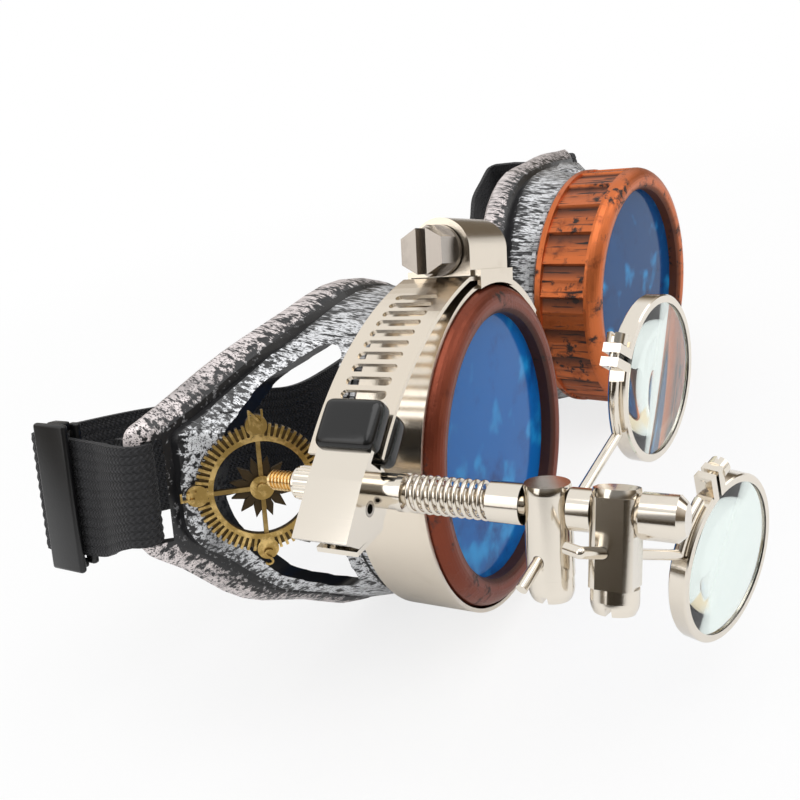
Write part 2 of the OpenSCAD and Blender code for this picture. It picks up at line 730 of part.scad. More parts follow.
// Domed slotted screw under a post, pressing on the arm
module block_screw(y, tilt) {
    head_r = 3;
    tip = arm_drop + wire_r + 0.5;
    color("silver") post_frame(y, tilt) translate([0, 0, -post_low - 0.05]) difference() {
        union() {
            mirror([0, 0, 1]) cylinder(r = head_r, h = screw_head - 1.4, $fn = fine);
            translate([0, 0, 1.4 - screw_head]) intersection() {
                sphere(r = head_r, $fn = fine);
                translate([-5, -5, -1.6]) cube([10, 10, 2]);
            }
            cylinder(r = 1, h = post_low + 0.05 - tip, $fn = fine);
        }
        translate([-5, -0.4, -screw_head - 1]) cube([10, 0.8, 1.9]);
    }
}

// Wire arm: stub, straight run and a quarter turn round the rim to its closing block
module arm(y, tilt, aim, reach, hook) {
    wrap_r = loupe_r + rim_wall + wire_r + 0.02;
    stub = 8;
    color("silver") arm_frame(y, tilt, aim) union() {
        translate([-stub, 0, 0]) rotate([0, 90, 0])
            cylinder(r = wire_r, h = stub + reach - wrap_r + 0.2, $fn = fine);
        if (hook > 0) {
            translate([-stub, 0, 0]) sphere(r = wire_r, $fn = fine);
            translate([-stub, 0, 0]) rotate([-90, 0, 0]) cylinder(r = wire_r, h = hook, $fn = fine);
        }
        translate([reach, 0, 0]) rotate([90, 0, 0]) rotate([0, 0, 180 - arm_wrap])
            rotate_extrude(angle = arm_wrap, $fn = smooth) translate([wrap_r, 0]) circle(r = wire_r, $fn = 32);
    }
}

// Frame on a lens centre, turned so that -X points to the rim's closing block
module lens_frame(y, tilt, aim, reach) {
    arm_frame(y, tilt, aim) translate([reach, 0, 0]) children();
}

// Split rim: thin channel round the glass with two small ears
module rim(y, tilt, aim, reach) {
    ear_w = 1.3;
    ear_gap = 0.7;
    ear_h = 3.4;
    lip = 0.5;
    color("silver") lens_frame(y, tilt, aim, reach) difference() {
        union() {
            difference() {
                revolved() polygon([[loupe_r - lip, -rim_half], [loupe_r + rim_wall - 0.2, -rim_half],
                    [loupe_r + rim_wall, -rim_half + 0.2], [loupe_r + rim_wall, rim_half - 0.2],
                    [loupe_r + rim_wall - 0.2, rim_half], [loupe_r - lip, rim_half],
                    [loupe_r - lip, rim_half - 0.35], [loupe_r + 0.02, rim_half - 0.35],
                    [loupe_r + 0.02, 0.35 - rim_half], [loupe_r - lip, 0.35 - rim_half]]);
                rotate([0, arm_wrap + 14, 0]) translate([-loupe_r - 2, -3, -ear_gap / 2]) cube([4, 6, ear_gap]);
            }
            rotate([0, arm_wrap + 14, 0]) for (s = [-1, 1])
                translate([-loupe_r - rim_wall - ear_h + 0.3, -rim_half, s > 0 ? ear_gap / 2 : -ear_gap / 2 - ear_w])
                    cube([ear_h, 2 * rim_half, ear_w]);
        }
        rotate([0, arm_wrap + 14, 0]) translate([-loupe_r - rim_wall - 1.9, 0, -4])
            cylinder(r = 0.7, h = 8, $fn = fine);
    }
}

module rim_screw(y, tilt, aim, reach) {
    color("silver") lens_frame(y, tilt, aim, reach) rotate([0, arm_wrap + 14, 0])
        translate([-loupe_r - rim_wall - 1.9, 0, -1.7]) difference() {
            union() {
                cylinder(r = 0.7, h = 3.4, $fn = fine);
                translate([0, 0, 3.37]) cylinder(r = 1.5, h = 1.5, $fn = fine);
            }
            translate([-2, -0.25, 4.2]) cube([4, 0.5, 1]);
        }
}

// Thick magnifying lens, curved on both faces
module loupe_lens(y, tilt, aim, reach) {
    edge = rim_half - 0.37;
    crown = 1.1;
    bend = (pow(loupe_r - 0.5, 2) + pow(crown, 2)) / (2 * crown);
    swing = asin((loupe_r - 0.5) / bend);
    color("lightcyan") lens_frame(y, tilt, aim, reach) revolved() polygon(concat(
        arc(0, bend - edge - crown, bend, -90, -90 + swing, 8), [[loupe_r, -edge], [loupe_r, edge]],
        arc(0, edge + crown - bend, bend, 90 - swing, 90, 8)));
}

// Middle line of the strap in the lug's frame: out through the hole, round the lug's end, back to the fold
// and along behind the cup
bar_at = [rim_t / 2 - 0.1 - lug_reach + hole_near / 2 * cos(wall_slope), lug_deep - hole_near / 2 * sin(wall_slope)];
bar_off = hole_near / 2 + strap_t / 2 + 0.6;
strap_turn = concat([[bar_at.x + bar_off, bar_at.y + 6, hole_z]],
    [for (a = [0:-45:-180]) [bar_at.x + bar_off * cos(a), bar_at.y + bar_off * sin(a), hole_z]],
    [[-52, 42.8, 1.5], [-50.8, 46, 0.8], [-49.6, 49.2, 0], [-49.4, 57, 0], [-49.2, 61.5, 0], [-49, 63.8, 0],
    [-47.6, 65, 0], [-45.6, 64.9, 0], [-40, 63.8, 0], [-30, 61.6, 0], [-18, 56, 0], [-6, 51, 0], [8, 47.6, 0]]);
slider_at = 9;

function lug_to_world(p) =
    let (x = p.x * cos(lug_lift) + p.z * sin(lug_lift), z = -p.x * sin(lug_lift) + p.z * cos(lug_lift))
        [x * cos(toe_in) - p.y * sin(toe_in) - eye_gap / 2, x * sin(toe_in) + p.y * cos(toe_in), z];

// One cross-section of a band: middle p, direction t along it, edge direction up
function band_ring(p, t, up, w, h) =
    let (n0 = cross(t, up), n = n0 / norm(n0)) [p + up * w / 2 + n * h / 2, p - up * w / 2 + n * h / 2,
        p - up * w / 2 - n * h / 2, p + up * w / 2 - n * h / 2];

// Elastic strap from one lug round behind both cups to the other
module strap() {
    up = lug_to_world([0, 0, 1]) - lug_to_world([0, 0, 0]);
    half = [for (p = strap_turn) lug_to_world(p)];
    last = len(half) - 1;
    path = concat(half, [[0, half[last].y - 0.6, half[last].z - 1]],
        [for (i = [last:-1:0]) [-half[i].x, half[i].y, half[i].z]]);
    ups = [for (i = [0:2 * last + 2]) i <= last ? up : i == last + 1 ? [0, 0, 1] : [-up.x, up.y, up.z]];
    share = [for (i = [0:last]) i < 6 ? strap_pinch : min(1, strap_pinch + (1 - strap_pinch) * (i - 5) / 4)];
    rings = [for (i = [0:2 * last + 2])
        let (d = path[min(i + 1, 2 * last + 2)] - path[max(i - 1, 0)], k = min(i, last, 2 * last + 2 - i))
            for (q = band_ring(path[i], d / norm(d), ups[i], strap_w * share[k], strap_t)) q];
    color("black") polyhedron(rings, tube_faces(2 * last + 3, 4, true), convexity = 8);
}

// Slider: a broad rounded plate outside the elastic, two rails and two narrow bars behind it
module strap_slider() {
    long = 7.6;
    tall = strap_w + 5;
    gap = strap_t + 0.6;
    bar_t = 1.3;
    corner_r = 2;
    rail_t = 1.6;
    run = strap_turn[slider_at + 1] - strap_turn[slider_at - 1];
    color("black") right_eye() lug_frame() translate(strap_turn[slider_at])
        rotate([0, 0, atan2(run.y, run.x)]) union() {
            plate(gap / 2, gap / 2 + bar_t) union() {
                square([long - 2 * corner_r, tall], center = true);
                square([long, tall - 2 * corner_r], center = true);
                for (x = [-1, 1], z = [-1, 1]) translate([x * (long / 2 - corner_r), z * (tall / 2 - corner_r)])
                    circle(r = corner_r, $fn = fine);
            }
            for (s = [-1, 1]) {
                translate([corner_r - long / 2, -gap / 2, s > 0 ? tall / 2 - rail_t : -tall / 2])
                    cube([long - 2 * corner_r, gap + 0.1, rail_t]);
                translate([s * (long / 2 - 2) - 1, -gap / 2 - bar_t, -tall / 2 + 0.4]) cube([2, bar_t, tall - 0.8]);
            }
        }
}

function eye_to_world(x, y) = [x * cos(toe_in) - y * sin(toe_in) - eye_gap / 2, x * sin(toe_in) + y * cos(toe_in)];

// Soft strip between the cups, lying on the front of their nose tabs
module nose_bridge() {
    y = tab_y - bridge_t / 2 - 0.05;
    a = eye_to_world(wall_r + 2.6, y);
    b = eye_to_world(tab_reach, y);
    color("dimgray") difference() {
        translate([0, 0, -bridge_w / 2]) linear_extrude(bridge_w)
            strip([a, b, [-b.x, b.y], [-a.x, a.y]], bridge_t);
        for (side = [0, 1]) mirror([side, 0, 0]) right_eye() translate([stud_x, 0, 0])
            bar_y(stud_r, tab_y - bridge_t - 3, tab_y + 1);
    }
}

// Rivet through the strip and the cup's nose tab
module stud() {
    head_r = 2.6;
    head_t = 0.9;
    front = tab_y - bridge_t - 0.1;
    back = tab_y + tab_t + 0.05;
    color("silver") translate([stud_x, 0, 0]) union() {
        bar_y(stud_r, front - 0.1, back + 0.1);
        bar_y(head_r, front - head_t, front);
        bar_y(head_r, back, back + head_t);
    }
}

right_eye() cup();  // right_cup
left_eye() cup();  // left_cup
right_eye() ring();  // right_ring
left_eye() ring();  // left_ring
right_eye() eye_lens();  // right_lens
left_eye() eye_lens();  // left_lens
right_eye() eye_gasket();  // right_gasket
left_eye() eye_gasket();  // left_gasket
right_eye() clamp_band();
right_eye() clamp_housing();
right_eye() worm_screw();
right_eye() clip_outer_lever();
right_eye() clip_inner_lever();
right_eye() clip_pin();
right_eye() clip_spring();
right_eye() jaw_sleeve(outer_jaw_z);  // outer_jaw_sleeve
right_eye() jaw_sleeve(inner_jaw_z);  // inner_jaw_sleeve
right_eye() loupe_rod();
right_eye() knurled_nut();
right_eye() rod_sleeve(collar_front, collar_back, rod_sleeve_r - 0.2, 0.2);  // rod_collar
right_eye() rod_spring();
right_eye() rod_sleeve(rear_block_y + rear_block_half + 0.05, spring_front, rod_sleeve_r, 0);  // rear_sleeve
right_eye() rod_sleeve(front_sleeve_front, front_sleeve_back, rod_sleeve_r, 0);  // front_sleeve
right_eye() end_cap();
right_eye() block(rear_block_y, rear_tilt, rear_aim, rear_block_half, false);  // rear_block
right_eye() block(front_block_y, front_tilt, front_aim, front_block_half, true);  // front_block
right_eye() block_screw(rear_block_y, rear_tilt);  // rear_block_screw
right_eye() block_screw(front_block_y, front_tilt);  // front_block_screw
right_eye() arm(rear_block_y, rear_tilt, rear_aim, rear_reach, 0);  // rear_arm
right_eye() arm(front_block_y, front_tilt, front_aim, front_reach, 2);  // front_arm
right_eye() rim(rear_block_y, rear_tilt, rear_aim, rear_reach);  // rear_rim
right_eye() rim(front_block_y, front_tilt, front_aim, front_reach);  // front_rim
right_eye() loupe_lens(rear_block_y, rear_tilt, rear_aim, rear_reach);  // rear_loupe_lens
right_eye() loupe_lens(front_block_y, front_tilt, front_aim, front_reach);  // front_loupe_lens
right_eye() rim_screw(rear_block_y, rear_tilt, rear_aim, rear_reach);  // rear_rim_screw
right_eye() rim_screw(front_block_y, front_tilt, front_aim, front_reach);  // front_rim_screw
right_eye() compass();
strap();
strap_slider();
nose_bridge();
right_eye() stud();  // right_stud
left_eye() stud();  // left_stud
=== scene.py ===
import math

import bpy
from mathutils import Euler, Matrix, Quaternion, Vector


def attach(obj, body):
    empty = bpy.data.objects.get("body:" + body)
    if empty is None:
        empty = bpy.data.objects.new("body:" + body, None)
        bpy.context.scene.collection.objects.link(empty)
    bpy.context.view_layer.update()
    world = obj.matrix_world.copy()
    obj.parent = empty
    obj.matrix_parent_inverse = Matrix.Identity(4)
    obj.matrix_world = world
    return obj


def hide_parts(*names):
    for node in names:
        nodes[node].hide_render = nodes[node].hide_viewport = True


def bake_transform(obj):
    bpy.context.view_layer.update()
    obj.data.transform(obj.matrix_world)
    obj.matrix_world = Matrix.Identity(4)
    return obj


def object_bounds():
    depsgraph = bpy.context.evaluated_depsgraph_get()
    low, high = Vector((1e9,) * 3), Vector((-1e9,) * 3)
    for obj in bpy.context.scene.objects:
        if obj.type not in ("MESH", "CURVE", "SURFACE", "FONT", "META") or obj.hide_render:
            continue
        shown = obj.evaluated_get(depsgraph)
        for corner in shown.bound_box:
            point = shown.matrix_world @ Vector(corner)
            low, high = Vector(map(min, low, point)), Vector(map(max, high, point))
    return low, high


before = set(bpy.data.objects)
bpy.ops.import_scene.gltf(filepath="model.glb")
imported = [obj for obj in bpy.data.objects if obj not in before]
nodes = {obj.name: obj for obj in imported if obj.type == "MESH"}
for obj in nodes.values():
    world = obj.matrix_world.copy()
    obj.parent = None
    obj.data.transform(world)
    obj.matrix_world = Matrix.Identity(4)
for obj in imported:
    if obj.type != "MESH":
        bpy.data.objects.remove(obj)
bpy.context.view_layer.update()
mm = 0.001
print("frame loaded:", len(nodes), "nodes")

layout = {
    "eyeGap": 80, "toeIn": 4, "lugLift": 16,  # mm, degrees and degrees, as in the part's source
    "cupDepth": 32.2, "rimSlant": 8.8, "wallR": 28.3, "wallY": 15.8, "roundR": 36.0, "bandR": 29.5,
    "clipUp": 36.87, "tailR": 58, "tailTop": 31.8, "jawMid": 6.41, "rodBelow": 2.385,
}


def turned(x, y, z):
    return Euler([math.radians(a) for a in (x, y, z)]).to_matrix().to_4x4()


def eyeMatrix(side=-1):
    place = Matrix.Translation((-layout["eyeGap"] / 2 * mm, 0, 0)) @ turned(0, 0, layout["toeIn"])
    return place if side < 0 else Matrix.Scale(-1, 4, (1, 0, 0)) @ place


def rodPlace():
    up = math.radians(layout["clipUp"])
    along, below, bend = layout["jawMid"], layout["rodBelow"], layout["tailR"]
    x = -bend * math.sin(up) - along * math.cos(up) + below * math.sin(up)
    z = layout["tailTop"] - bend + bend * math.cos(up) - along * math.sin(up) - below * math.cos(up)
    return x, z


rodX, rodZ = rodPlace()
eye = eyeMatrix()
lugFrame = eye @ turned(0, layout["lugLift"], 0)
rodFrame = eye @ Matrix.Translation((rodX * mm, 0, rodZ * mm))
clipFrame = rodFrame @ turned(0, -layout["clipUp"], 0)


# Small helpers for modelling
def selectOnly(obj):
    if bpy.context.object and bpy.context.object.mode != "OBJECT":
        bpy.ops.object.mode_set(mode="OBJECT")
    bpy.ops.object.select_all(action="DESELECT")
    obj.select_set(True)
    bpy.context.view_layer.objects.active = obj


def applyModifiers(obj):
    selectOnly(obj)
    for m in list(obj.modifiers):
        bpy.ops.object.modifier_apply(modifier=m.name)


def addModifier(obj, name, kind, **values):
    m = obj.modifiers.new(name, kind)
    for key, value in values.items():
        setattr(m, key, value)
    return m


def settle(obj, matrix, body, material, smooth=40):
    selectOnly(obj)
    obj.matrix_world = matrix @ obj.matrix_world
    bpy.context.view_layer.update()
    bpy.ops.object.transform_apply(location=True, rotation=True, scale=True)
    obj.data.materials.clear()
    obj.data.materials.append(material)
    if smooth:
        bpy.ops.object.shade_smooth_by_angle(angle=math.radians(smooth))
    if body:
        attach(obj, body)
    return obj


def named(name):
    obj = bpy.context.object
    obj.name = name
    obj.data.name = name
    return obj


# Materials: small builders, then shared groups, then one function a finish
def put(tree, kind, inputs=None, **settings):
    n = tree.nodes.new("ShaderNode" + kind)
    for key, value in settings.items():
        setattr(n, key, value)
    for key, value in (inputs or {}).items():
        if isinstance(value, bpy.types.NodeSocket):
            tree.links.new(value, n.inputs[key])
        else:
            n.inputs[key].default_value = value
    return n


def newMaterial(name, **plain):
    mat = bpy.data.materials.new(name)
    mat.use_nodes = True
    tree = mat.node_tree
    tree.nodes.clear()
    shader = put(tree, "BsdfPrincipled")
    put(tree, "OutputMaterial", {"Surface": shader.outputs["BSDF"]})
    for key, value in plain.items():
        shader.inputs[key.replace("_", " ")].default_value = value
    return mat, tree, shader


def newGroup(name, inputs, outputs):
    tree = bpy.data.node_groups.new(name, "ShaderNodeTree")
    for key, value in inputs.items():
        kind = "NodeSocketVector" if value is None else "NodeSocketFloat"
        socket = tree.interface.new_socket(key, in_out="INPUT", socket_type=kind)
        if value is not None:
            socket.default_value = value
    for key in outputs:
        tree.interface.new_socket(key, in_out="OUTPUT", socket_type="NodeSocketFloat")
    return tree, tree.nodes.new("NodeGroupInput"), tree.nodes.new("NodeGroupOutput")


def useGroup(tree, group, inputs):
    n = tree.nodes.new("ShaderNodeGroup")
    n.node_tree = group
    for key, value in inputs.items():
        if isinstance(value, bpy.types.NodeSocket):
            tree.links.new(value, n.inputs[key])
        else:
            n.inputs[key].default_value = value
    return n


def brushStrokesGroup():
    # dry-brush marks: noise drawn out along Y, cut off at a level
    tree, source, sink = newGroup("brushStrokes", {"Vector": None, "Across": 2200, "Along": 260, "Cover": 0.5,
                                                   "Soft": 0.05}, ["Mask"])
    scale = put(tree, "CombineXYZ", {"X": source.outputs["Across"], "Y": source.outputs["Along"],
                                     "Z": source.outputs["Across"]})
    spread = put(tree, "VectorMath", {0: source.outputs["Vector"], 1: scale.outputs[0]}, operation="MULTIPLY")
    noise = put(tree, "TexNoise", {"Vector": spread.outputs[0], "Scale": 1.0, "Detail": 2.5,
                                   "Roughness": 0.5})
    level = put(tree, "Math", {0: 1.0, 1: source.outputs["Cover"]}, operation="SUBTRACT")
    low = put(tree, "MapRange", {"Value": level.outputs[0], "To Min": 0.28, "To Max": 0.72})
    high = put(tree, "Math", {0: low.outputs[0], 1: source.outputs["Soft"]}, operation="ADD")
    mask = put(tree, "MapRange", {"Value": noise.outputs["Fac"], "From Min": low.outputs[0],
                                  "From Max": high.outputs[0]}, interpolation_type="SMOOTHSTEP")
    tree.links.new(mask.outputs[0], sink.inputs["Mask"])
    return tree


def ringSpaceGroup():
    # distance from the eye's axis, angle round it and depth behind the ring's front
    tree, source, sink = newGroup("ringSpace", {"Vector": None}, ["Radius", "Angle", "Depth"])
    parts = put(tree, "SeparateXYZ", {0: source.outputs["Vector"]})
    flat = put(tree, "CombineXYZ", {"X": parts.outputs["X"], "Y": 0.0, "Z": parts.outputs["Z"]})
    radius = put(tree, "VectorMath", {0: flat.outputs[0]}, operation="LENGTH")
    angle = put(tree, "Math", {0: parts.outputs["Z"], 1: parts.outputs["X"]}, operation="ARCTAN2")
    tree.links.new(radius.outputs["Value"], sink.inputs["Radius"])
    tree.links.new(angle.outputs[0], sink.inputs["Angle"])
    tree.links.new(parts.outputs["Y"], sink.inputs["Depth"])
    return tree


def patchesGroup():
    # blotches of one size with a finer one over them
    tree, source, sink = newGroup("patches", {"Vector": None, "Scale": 120, "Cover": 0.5, "Soft": 0.12},
                                  ["Mask"])
    noise = put(tree, "TexNoise", {"Vector": source.outputs["Vector"], "Scale": source.outputs["Scale"],
                                   "Detail": 6.0, "Roughness": 0.65})
    level = put(tree, "Math", {0: 1.0, 1: source.outputs["Cover"]}, operation="SUBTRACT")
    low = put(tree, "MapRange", {"Value": level.outputs[0], "To Min": 0.25, "To Max": 0.75})
    high = put(tree, "Math", {0: low.outputs[0], 1: source.outputs["Soft"]}, operation="ADD")
    mask = put(tree, "MapRange", {"Value": noise.outputs["Fac"], "From Min": low.outputs[0],
                                  "From Max": high.outputs[0]}, interpolation_type="SMOOTHSTEP")
    tree.links.new(mask.outputs[0], sink.inputs["Mask"])
    return tree


def bandGroup():
    # one inside From..To with soft ends of width Soft, zero outside
    tree, source, sink = newGroup("between", {"Value": 0.0, "From": 0.0, "To": 1.0, "Soft": 0.0002}, ["Mask"])
    a = put(tree, "Math", {0: source.outputs["From"], 1: source.outputs["Soft"]}, operation="SUBTRACT")
    b = put(tree, "Math", {0: source.outputs["To"], 1: source.outputs["Soft"]}, operation="ADD")
    up = put(tree, "MapRange", {"Value": source.outputs["Value"], "From Min": a.outputs[0],
                                "From Max": source.outputs["From"]})
    down = put(tree, "MapRange", {"Value": source.outputs["Value"], "From Min": b.outputs[0],
                                  "From Max": source.outputs["To"]})
    both = put(tree, "Math", {0: up.outputs[0], 1: down.outputs[0]}, operation="MULTIPLY")
    tree.links.new(both.outputs[0], sink.inputs["Mask"])
    return tree


brushStrokes, ringSpace, patches, between = brushStrokesGroup(), ringSpaceGroup(), patchesGroup(), bandGroup()


def eyeCoordinates(tree, side, lift=0):
    # Object coordinates taken into one eye's frame, in metres; lift turns them into the strap lug's frame
    place = put(tree, "TexCoord").outputs["Object"]
    flipped = put(tree, "VectorMath", {0: place, 1: (-side, 1, 1)}, operation="MULTIPLY")
    return put(tree, "Mapping", {"Vector": flipped.outputs[0], "Location": (-layout["eyeGap"] / 2 * mm, 0, 0),
                                 "Rotation": (0, math.radians(lift), math.radians(layout["toeIn"]))},
               vector_type="TEXTURE").outputs[0]


def mixColour(tree, mask, a, b):
    n = put(tree, "Mix", data_type="RGBA")
    for socket, value in ((n.inputs[0], mask), (n.inputs[6], a), (n.inputs[7], b)):
        if isinstance(value, bpy.types.NodeSocket):
            tree.links.new(value, socket)
        else:
            socket.default_value = value
    return n.outputs[2]


def mixValue(tree, mask, a, b):
    return put(tree, "MapRange", {"Value": mask, "To Min": a, "To Max": b}).outputs[0]


def combine(tree, a, b, how="MULTIPLY"):
    return put(tree, "Math", {0: a, 1: b}, operation=how, use_clamp=True).outputs[0]


def bumpFrom(tree, shader, height, strength, distance):
    bump = put(tree, "Bump", {"Height": height, "Strength": strength, "Distance": distance})
    tree.links.new(bump.outputs[0], shader.inputs["Normal"])


def wallSpaceGroup():
    # place on the cup's lofted wall, in mm: distance from the rim along the wall, and length round the cup
    tree, source, sink = newGroup("wallSpace", {"Vector": None}, ["Edge", "Round", "Side"])
    place = put(tree, "VectorMath", {0: source.outputs["Vector"], "Scale": 1000.0}, operation="SCALE")
    parts = put(tree, "SeparateXYZ", {0: place.outputs[0]})
    flat = put(tree, "CombineXYZ", {"X": parts.outputs["X"], "Y": 0.0, "Z": parts.outputs["Z"]})
    radius = put(tree, "VectorMath", {0: flat.outputs[0]}, operation="LENGTH").outputs["Value"]

    def sum2(a, b, how="ADD"):
        return put(tree, "Math", {0: a, 1: b}, operation=how).outputs[0]

    lean = sum2(sum2(parts.outputs["X"], radius, "DIVIDE"), math.tan(math.radians(layout["rimSlant"])),
                "MULTIPLY")
    beyond = sum2(radius, layout["wallR"], "SUBTRACT")
    deep = layout["cupDepth"] - layout["wallY"]
    top = sum2(sum2(parts.outputs["Y"], layout["wallY"], "SUBTRACT"), sum2(lean, beyond, "MULTIPLY"))
    low = sum2(deep, sum2(lean, layout["wallR"], "MULTIPLY"), "SUBTRACT")
    share = sum2(sum2(top, low, "DIVIDE"), 0.02, "MAXIMUM")
    wide = sum2(beyond, share, "DIVIDE")
    tall = sum2(deep, sum2(lean, sum2(wide, layout["wallR"]), "MULTIPLY"), "SUBTRACT")
    run = sum2(sum2(sum2(wide, wide, "MULTIPLY"), sum2(tall, tall, "MULTIPLY")), 0.5, "POWER")
    edge = sum2(sum2(1.0, share, "SUBTRACT"), run, "MULTIPLY")
    turn = sum2(parts.outputs["Z"], sum2(parts.outputs["X"], -1.0, "MULTIPLY"), "ARCTAN2")
    tree.links.new(edge, sink.inputs["Edge"])
    tree.links.new(sum2(turn, layout["roundR"], "MULTIPLY"), sink.inputs["Round"])
    tree.links.new(beyond, sink.inputs["Side"])
    return tree


wallSpace = wallSpaceGroup()
cupFinish = {
    "plastic": (0.010, 0.010, 0.011, 1), "silver": (0.74, 0.75, 0.77, 1), "blush": (0.76, 0.69, 0.68, 1),
    "bandCover": 0.90, "wallCover": 0.76, "band": 5.4, "groove": 7.6,
    "broad": {"Across": 1.6, "Along": 0.11, "Soft": 0.12},
    "fine": {"Across": 6.0, "Along": 0.25, "Cover": 0.80, "Soft": 0.10},
}


def cupMaterial(side, name):
    v = cupFinish
    mat, tree, shader = newMaterial(name)
    lug = eyeCoordinates(tree, side, layout["lugLift"])
    wall = useGroup(tree, wallSpace, {"Vector": lug})
    edge = wall.outputs["Edge"]
    onBand = put(tree, "MapRange", {"Value": edge, "From Min": v["band"] + 0.4,
                                    "From Max": v["band"] - 0.4}).outputs[0]
    inGroove = useGroup(tree, between, {"Value": edge, "From": v["band"] + 0.5, "To": v["groove"] - 0.4,
                                        "Soft": 0.7})
    strokeAt = put(tree, "CombineXYZ", {"X": wall.outputs["Round"], "Y": edge,
                                        "Z": wall.outputs["Side"]}).outputs[0]
    bandShare = put(tree, "MapRange", {"Value": edge, "From Min": 2.0, "From Max": v["band"] + 0.3,
                                       "To Min": v["bandCover"], "To Max": 0.45}).outputs[0]
    wallShare = put(tree, "MapRange", {"Value": edge, "From Min": v["groove"], "From Max": v["groove"] + 3.5,
                                       "To Min": 0.30, "To Max": v["wallCover"]}).outputs[0]
    cover = mixValue(tree, onBand, wallShare, bandShare)
    broad = useGroup(tree, brushStrokes, {"Vector": strokeAt, "Cover": cover, **v["broad"]})
    fine = useGroup(tree, brushStrokes, {"Vector": strokeAt, **v["fine"]})
    blot = useGroup(tree, patches, {"Vector": lug, "Scale": 45, "Cover": 1.0, "Soft": 0.25})
    silver = combine(tree, combine(tree, broad.outputs[0], fine.outputs[0]), blot.outputs[0])
    silver = combine(tree, silver, combine(tree, 1.0, inGroove.outputs[0], "SUBTRACT"))
    facing = put(tree, "TexCoord").outputs["Normal"]
    centre = eyeMatrix(side).translation
    outward = put(tree, "VectorMath", {0: put(tree, "TexCoord").outputs["Object"], 1: centre},
                  operation="SUBTRACT")
    level = put(tree, "VectorMath", {0: outward.outputs[0], 1: (1, 0, 1)}, operation="MULTIPLY")
    radial = put(tree, "VectorMath", {0: level.outputs[0]}, operation="NORMALIZE")
    turnedOut = put(tree, "VectorMath", {0: facing, 1: radial.outputs[0]}, operation="DOT_PRODUCT")
    outside = put(tree, "MapRange", {"Value": turnedOut.outputs["Value"], "From Min": -0.1, "From Max": 0.15})
    silver = combine(tree, silver, outside.outputs[0])
    tone = mixColour(tree, onBand, v["silver"], v["blush"])
    tree.links.new(mixColour(tree, silver, v["plastic"], tone), shader.inputs["Base Color"])
    tree.links.new(mixValue(tree, silver, 0.0, 0.35), shader.inputs["Metallic"])
    tree.links.new(mixValue(tree, silver, 0.30, 0.34), shader.inputs["Roughness"])
    bumpFrom(tree, shader, silver, 0.6, 0.00015)
    return mat


copperFinish = {
    # the right ring's bright and deep are a darker copy of the left ring's copper: painted shade
    "right": {"bright": (0.20, 0.045, 0.022, 1), "deep": (0.085, 0.018, 0.011, 1), "sooted": 0.45},
    "left": {"bright": (0.58, 0.15, 0.045, 1), "deep": (0.16, 0.035, 0.015, 1), "sooted": 0.55},
    # sootAndShade: colour of the soot stains, also used as painted shade between the ribs and on the inner
    # lip
    "sootAndShade": (0.020, 0.010, 0.008, 1),
    "ribs": (2.3, 12.5), "ribFoot": (28.75, 28.25), "lip": (25.4, 24.2),  # mm: depths, then radii
}


def copperMaterial(side, name):
    v = copperFinish["right" if side < 0 else "left"]
    ribs, foot, lipAt = [[r * mm for r in copperFinish[k]] for k in ("ribs", "ribFoot", "lip")]
    mat, tree, shader = newMaterial(name)
    local = eyeCoordinates(tree, side)
    polar = useGroup(tree, ringSpace, {"Vector": local})
    onRibs = useGroup(tree, between, {"Value": polar.outputs["Depth"], "From": ribs[0], "To": ribs[1]})
    # low and recess: darker between the ribs, painted shade
    low = put(tree, "MapRange", {"Value": polar.outputs["Radius"], "From Min": foot[0], "From Max": foot[1]})
    recess = combine(tree, low.outputs[0], onRibs.outputs[0])
    # lip: darker on the inner lip of the ring's front, painted shade
    lip = put(tree, "MapRange", {"Value": polar.outputs["Radius"], "From Min": lipAt[0],
                                 "From Max": lipAt[1]})
    big = useGroup(tree, patches, {"Vector": local, "Scale": 95, "Cover": v["sooted"], "Soft": 0.10})
    small = useGroup(tree, patches, {"Vector": local, "Scale": 520, "Cover": 0.55, "Soft": 0.12})
    tint = useGroup(tree, patches, {"Vector": local, "Scale": 240, "Cover": 0.45, "Soft": 0.3})
    ribAt = put(tree, "CombineXYZ", {"X": polar.outputs["Angle"], "Y": polar.outputs["Depth"],
                                     "Z": 0.0}).outputs[0]
    streak = useGroup(tree, brushStrokes, {"Vector": ribAt, "Across": 26, "Along": 90,
                                           "Cover": v["sooted"] - 0.08, "Soft": 0.14})
    flecks = combine(tree, combine(tree, big.outputs[0], small.outputs[0]),
                     combine(tree, streak.outputs[0], onRibs.outputs[0]), "MAXIMUM")
    # dark: soot flecks and streaks are stains; the recess between the ribs and the inner lip are painted
    # shade
    dark = combine(tree, flecks, combine(tree, recess, 0.85), "MAXIMUM")
    dark = combine(tree, dark, combine(tree, lip.outputs[0], 0.8), "MAXIMUM")
    colour = mixColour(tree, dark, mixColour(tree, tint.outputs[0], v["bright"], v["deep"]),
                       copperFinish["sootAndShade"])
    tree.links.new(colour, shader.inputs["Base Color"])
    tree.links.new(mixValue(tree, dark, 0.8, 0.2), shader.inputs["Metallic"])
    tree.links.new(mixValue(tree, dark, 0.33, 0.6), shader.inputs["Roughness"])
    bumpFrom(tree, shader, small.outputs[0], 0.25, 0.00008)
    return mat


# the blue and deepBlue patches and the lighter glint streaks are painted reflection; the left lens is drawn
# darker by paintedShade, painted shade
lensFinish = {"blue": (0.003, 0.15, 0.50, 1), "deepBlue": (0.003, 0.055, 0.24, 1),
              "glint": (0.02, 0.36, 0.80, 1), "paintedShade": 0.45}


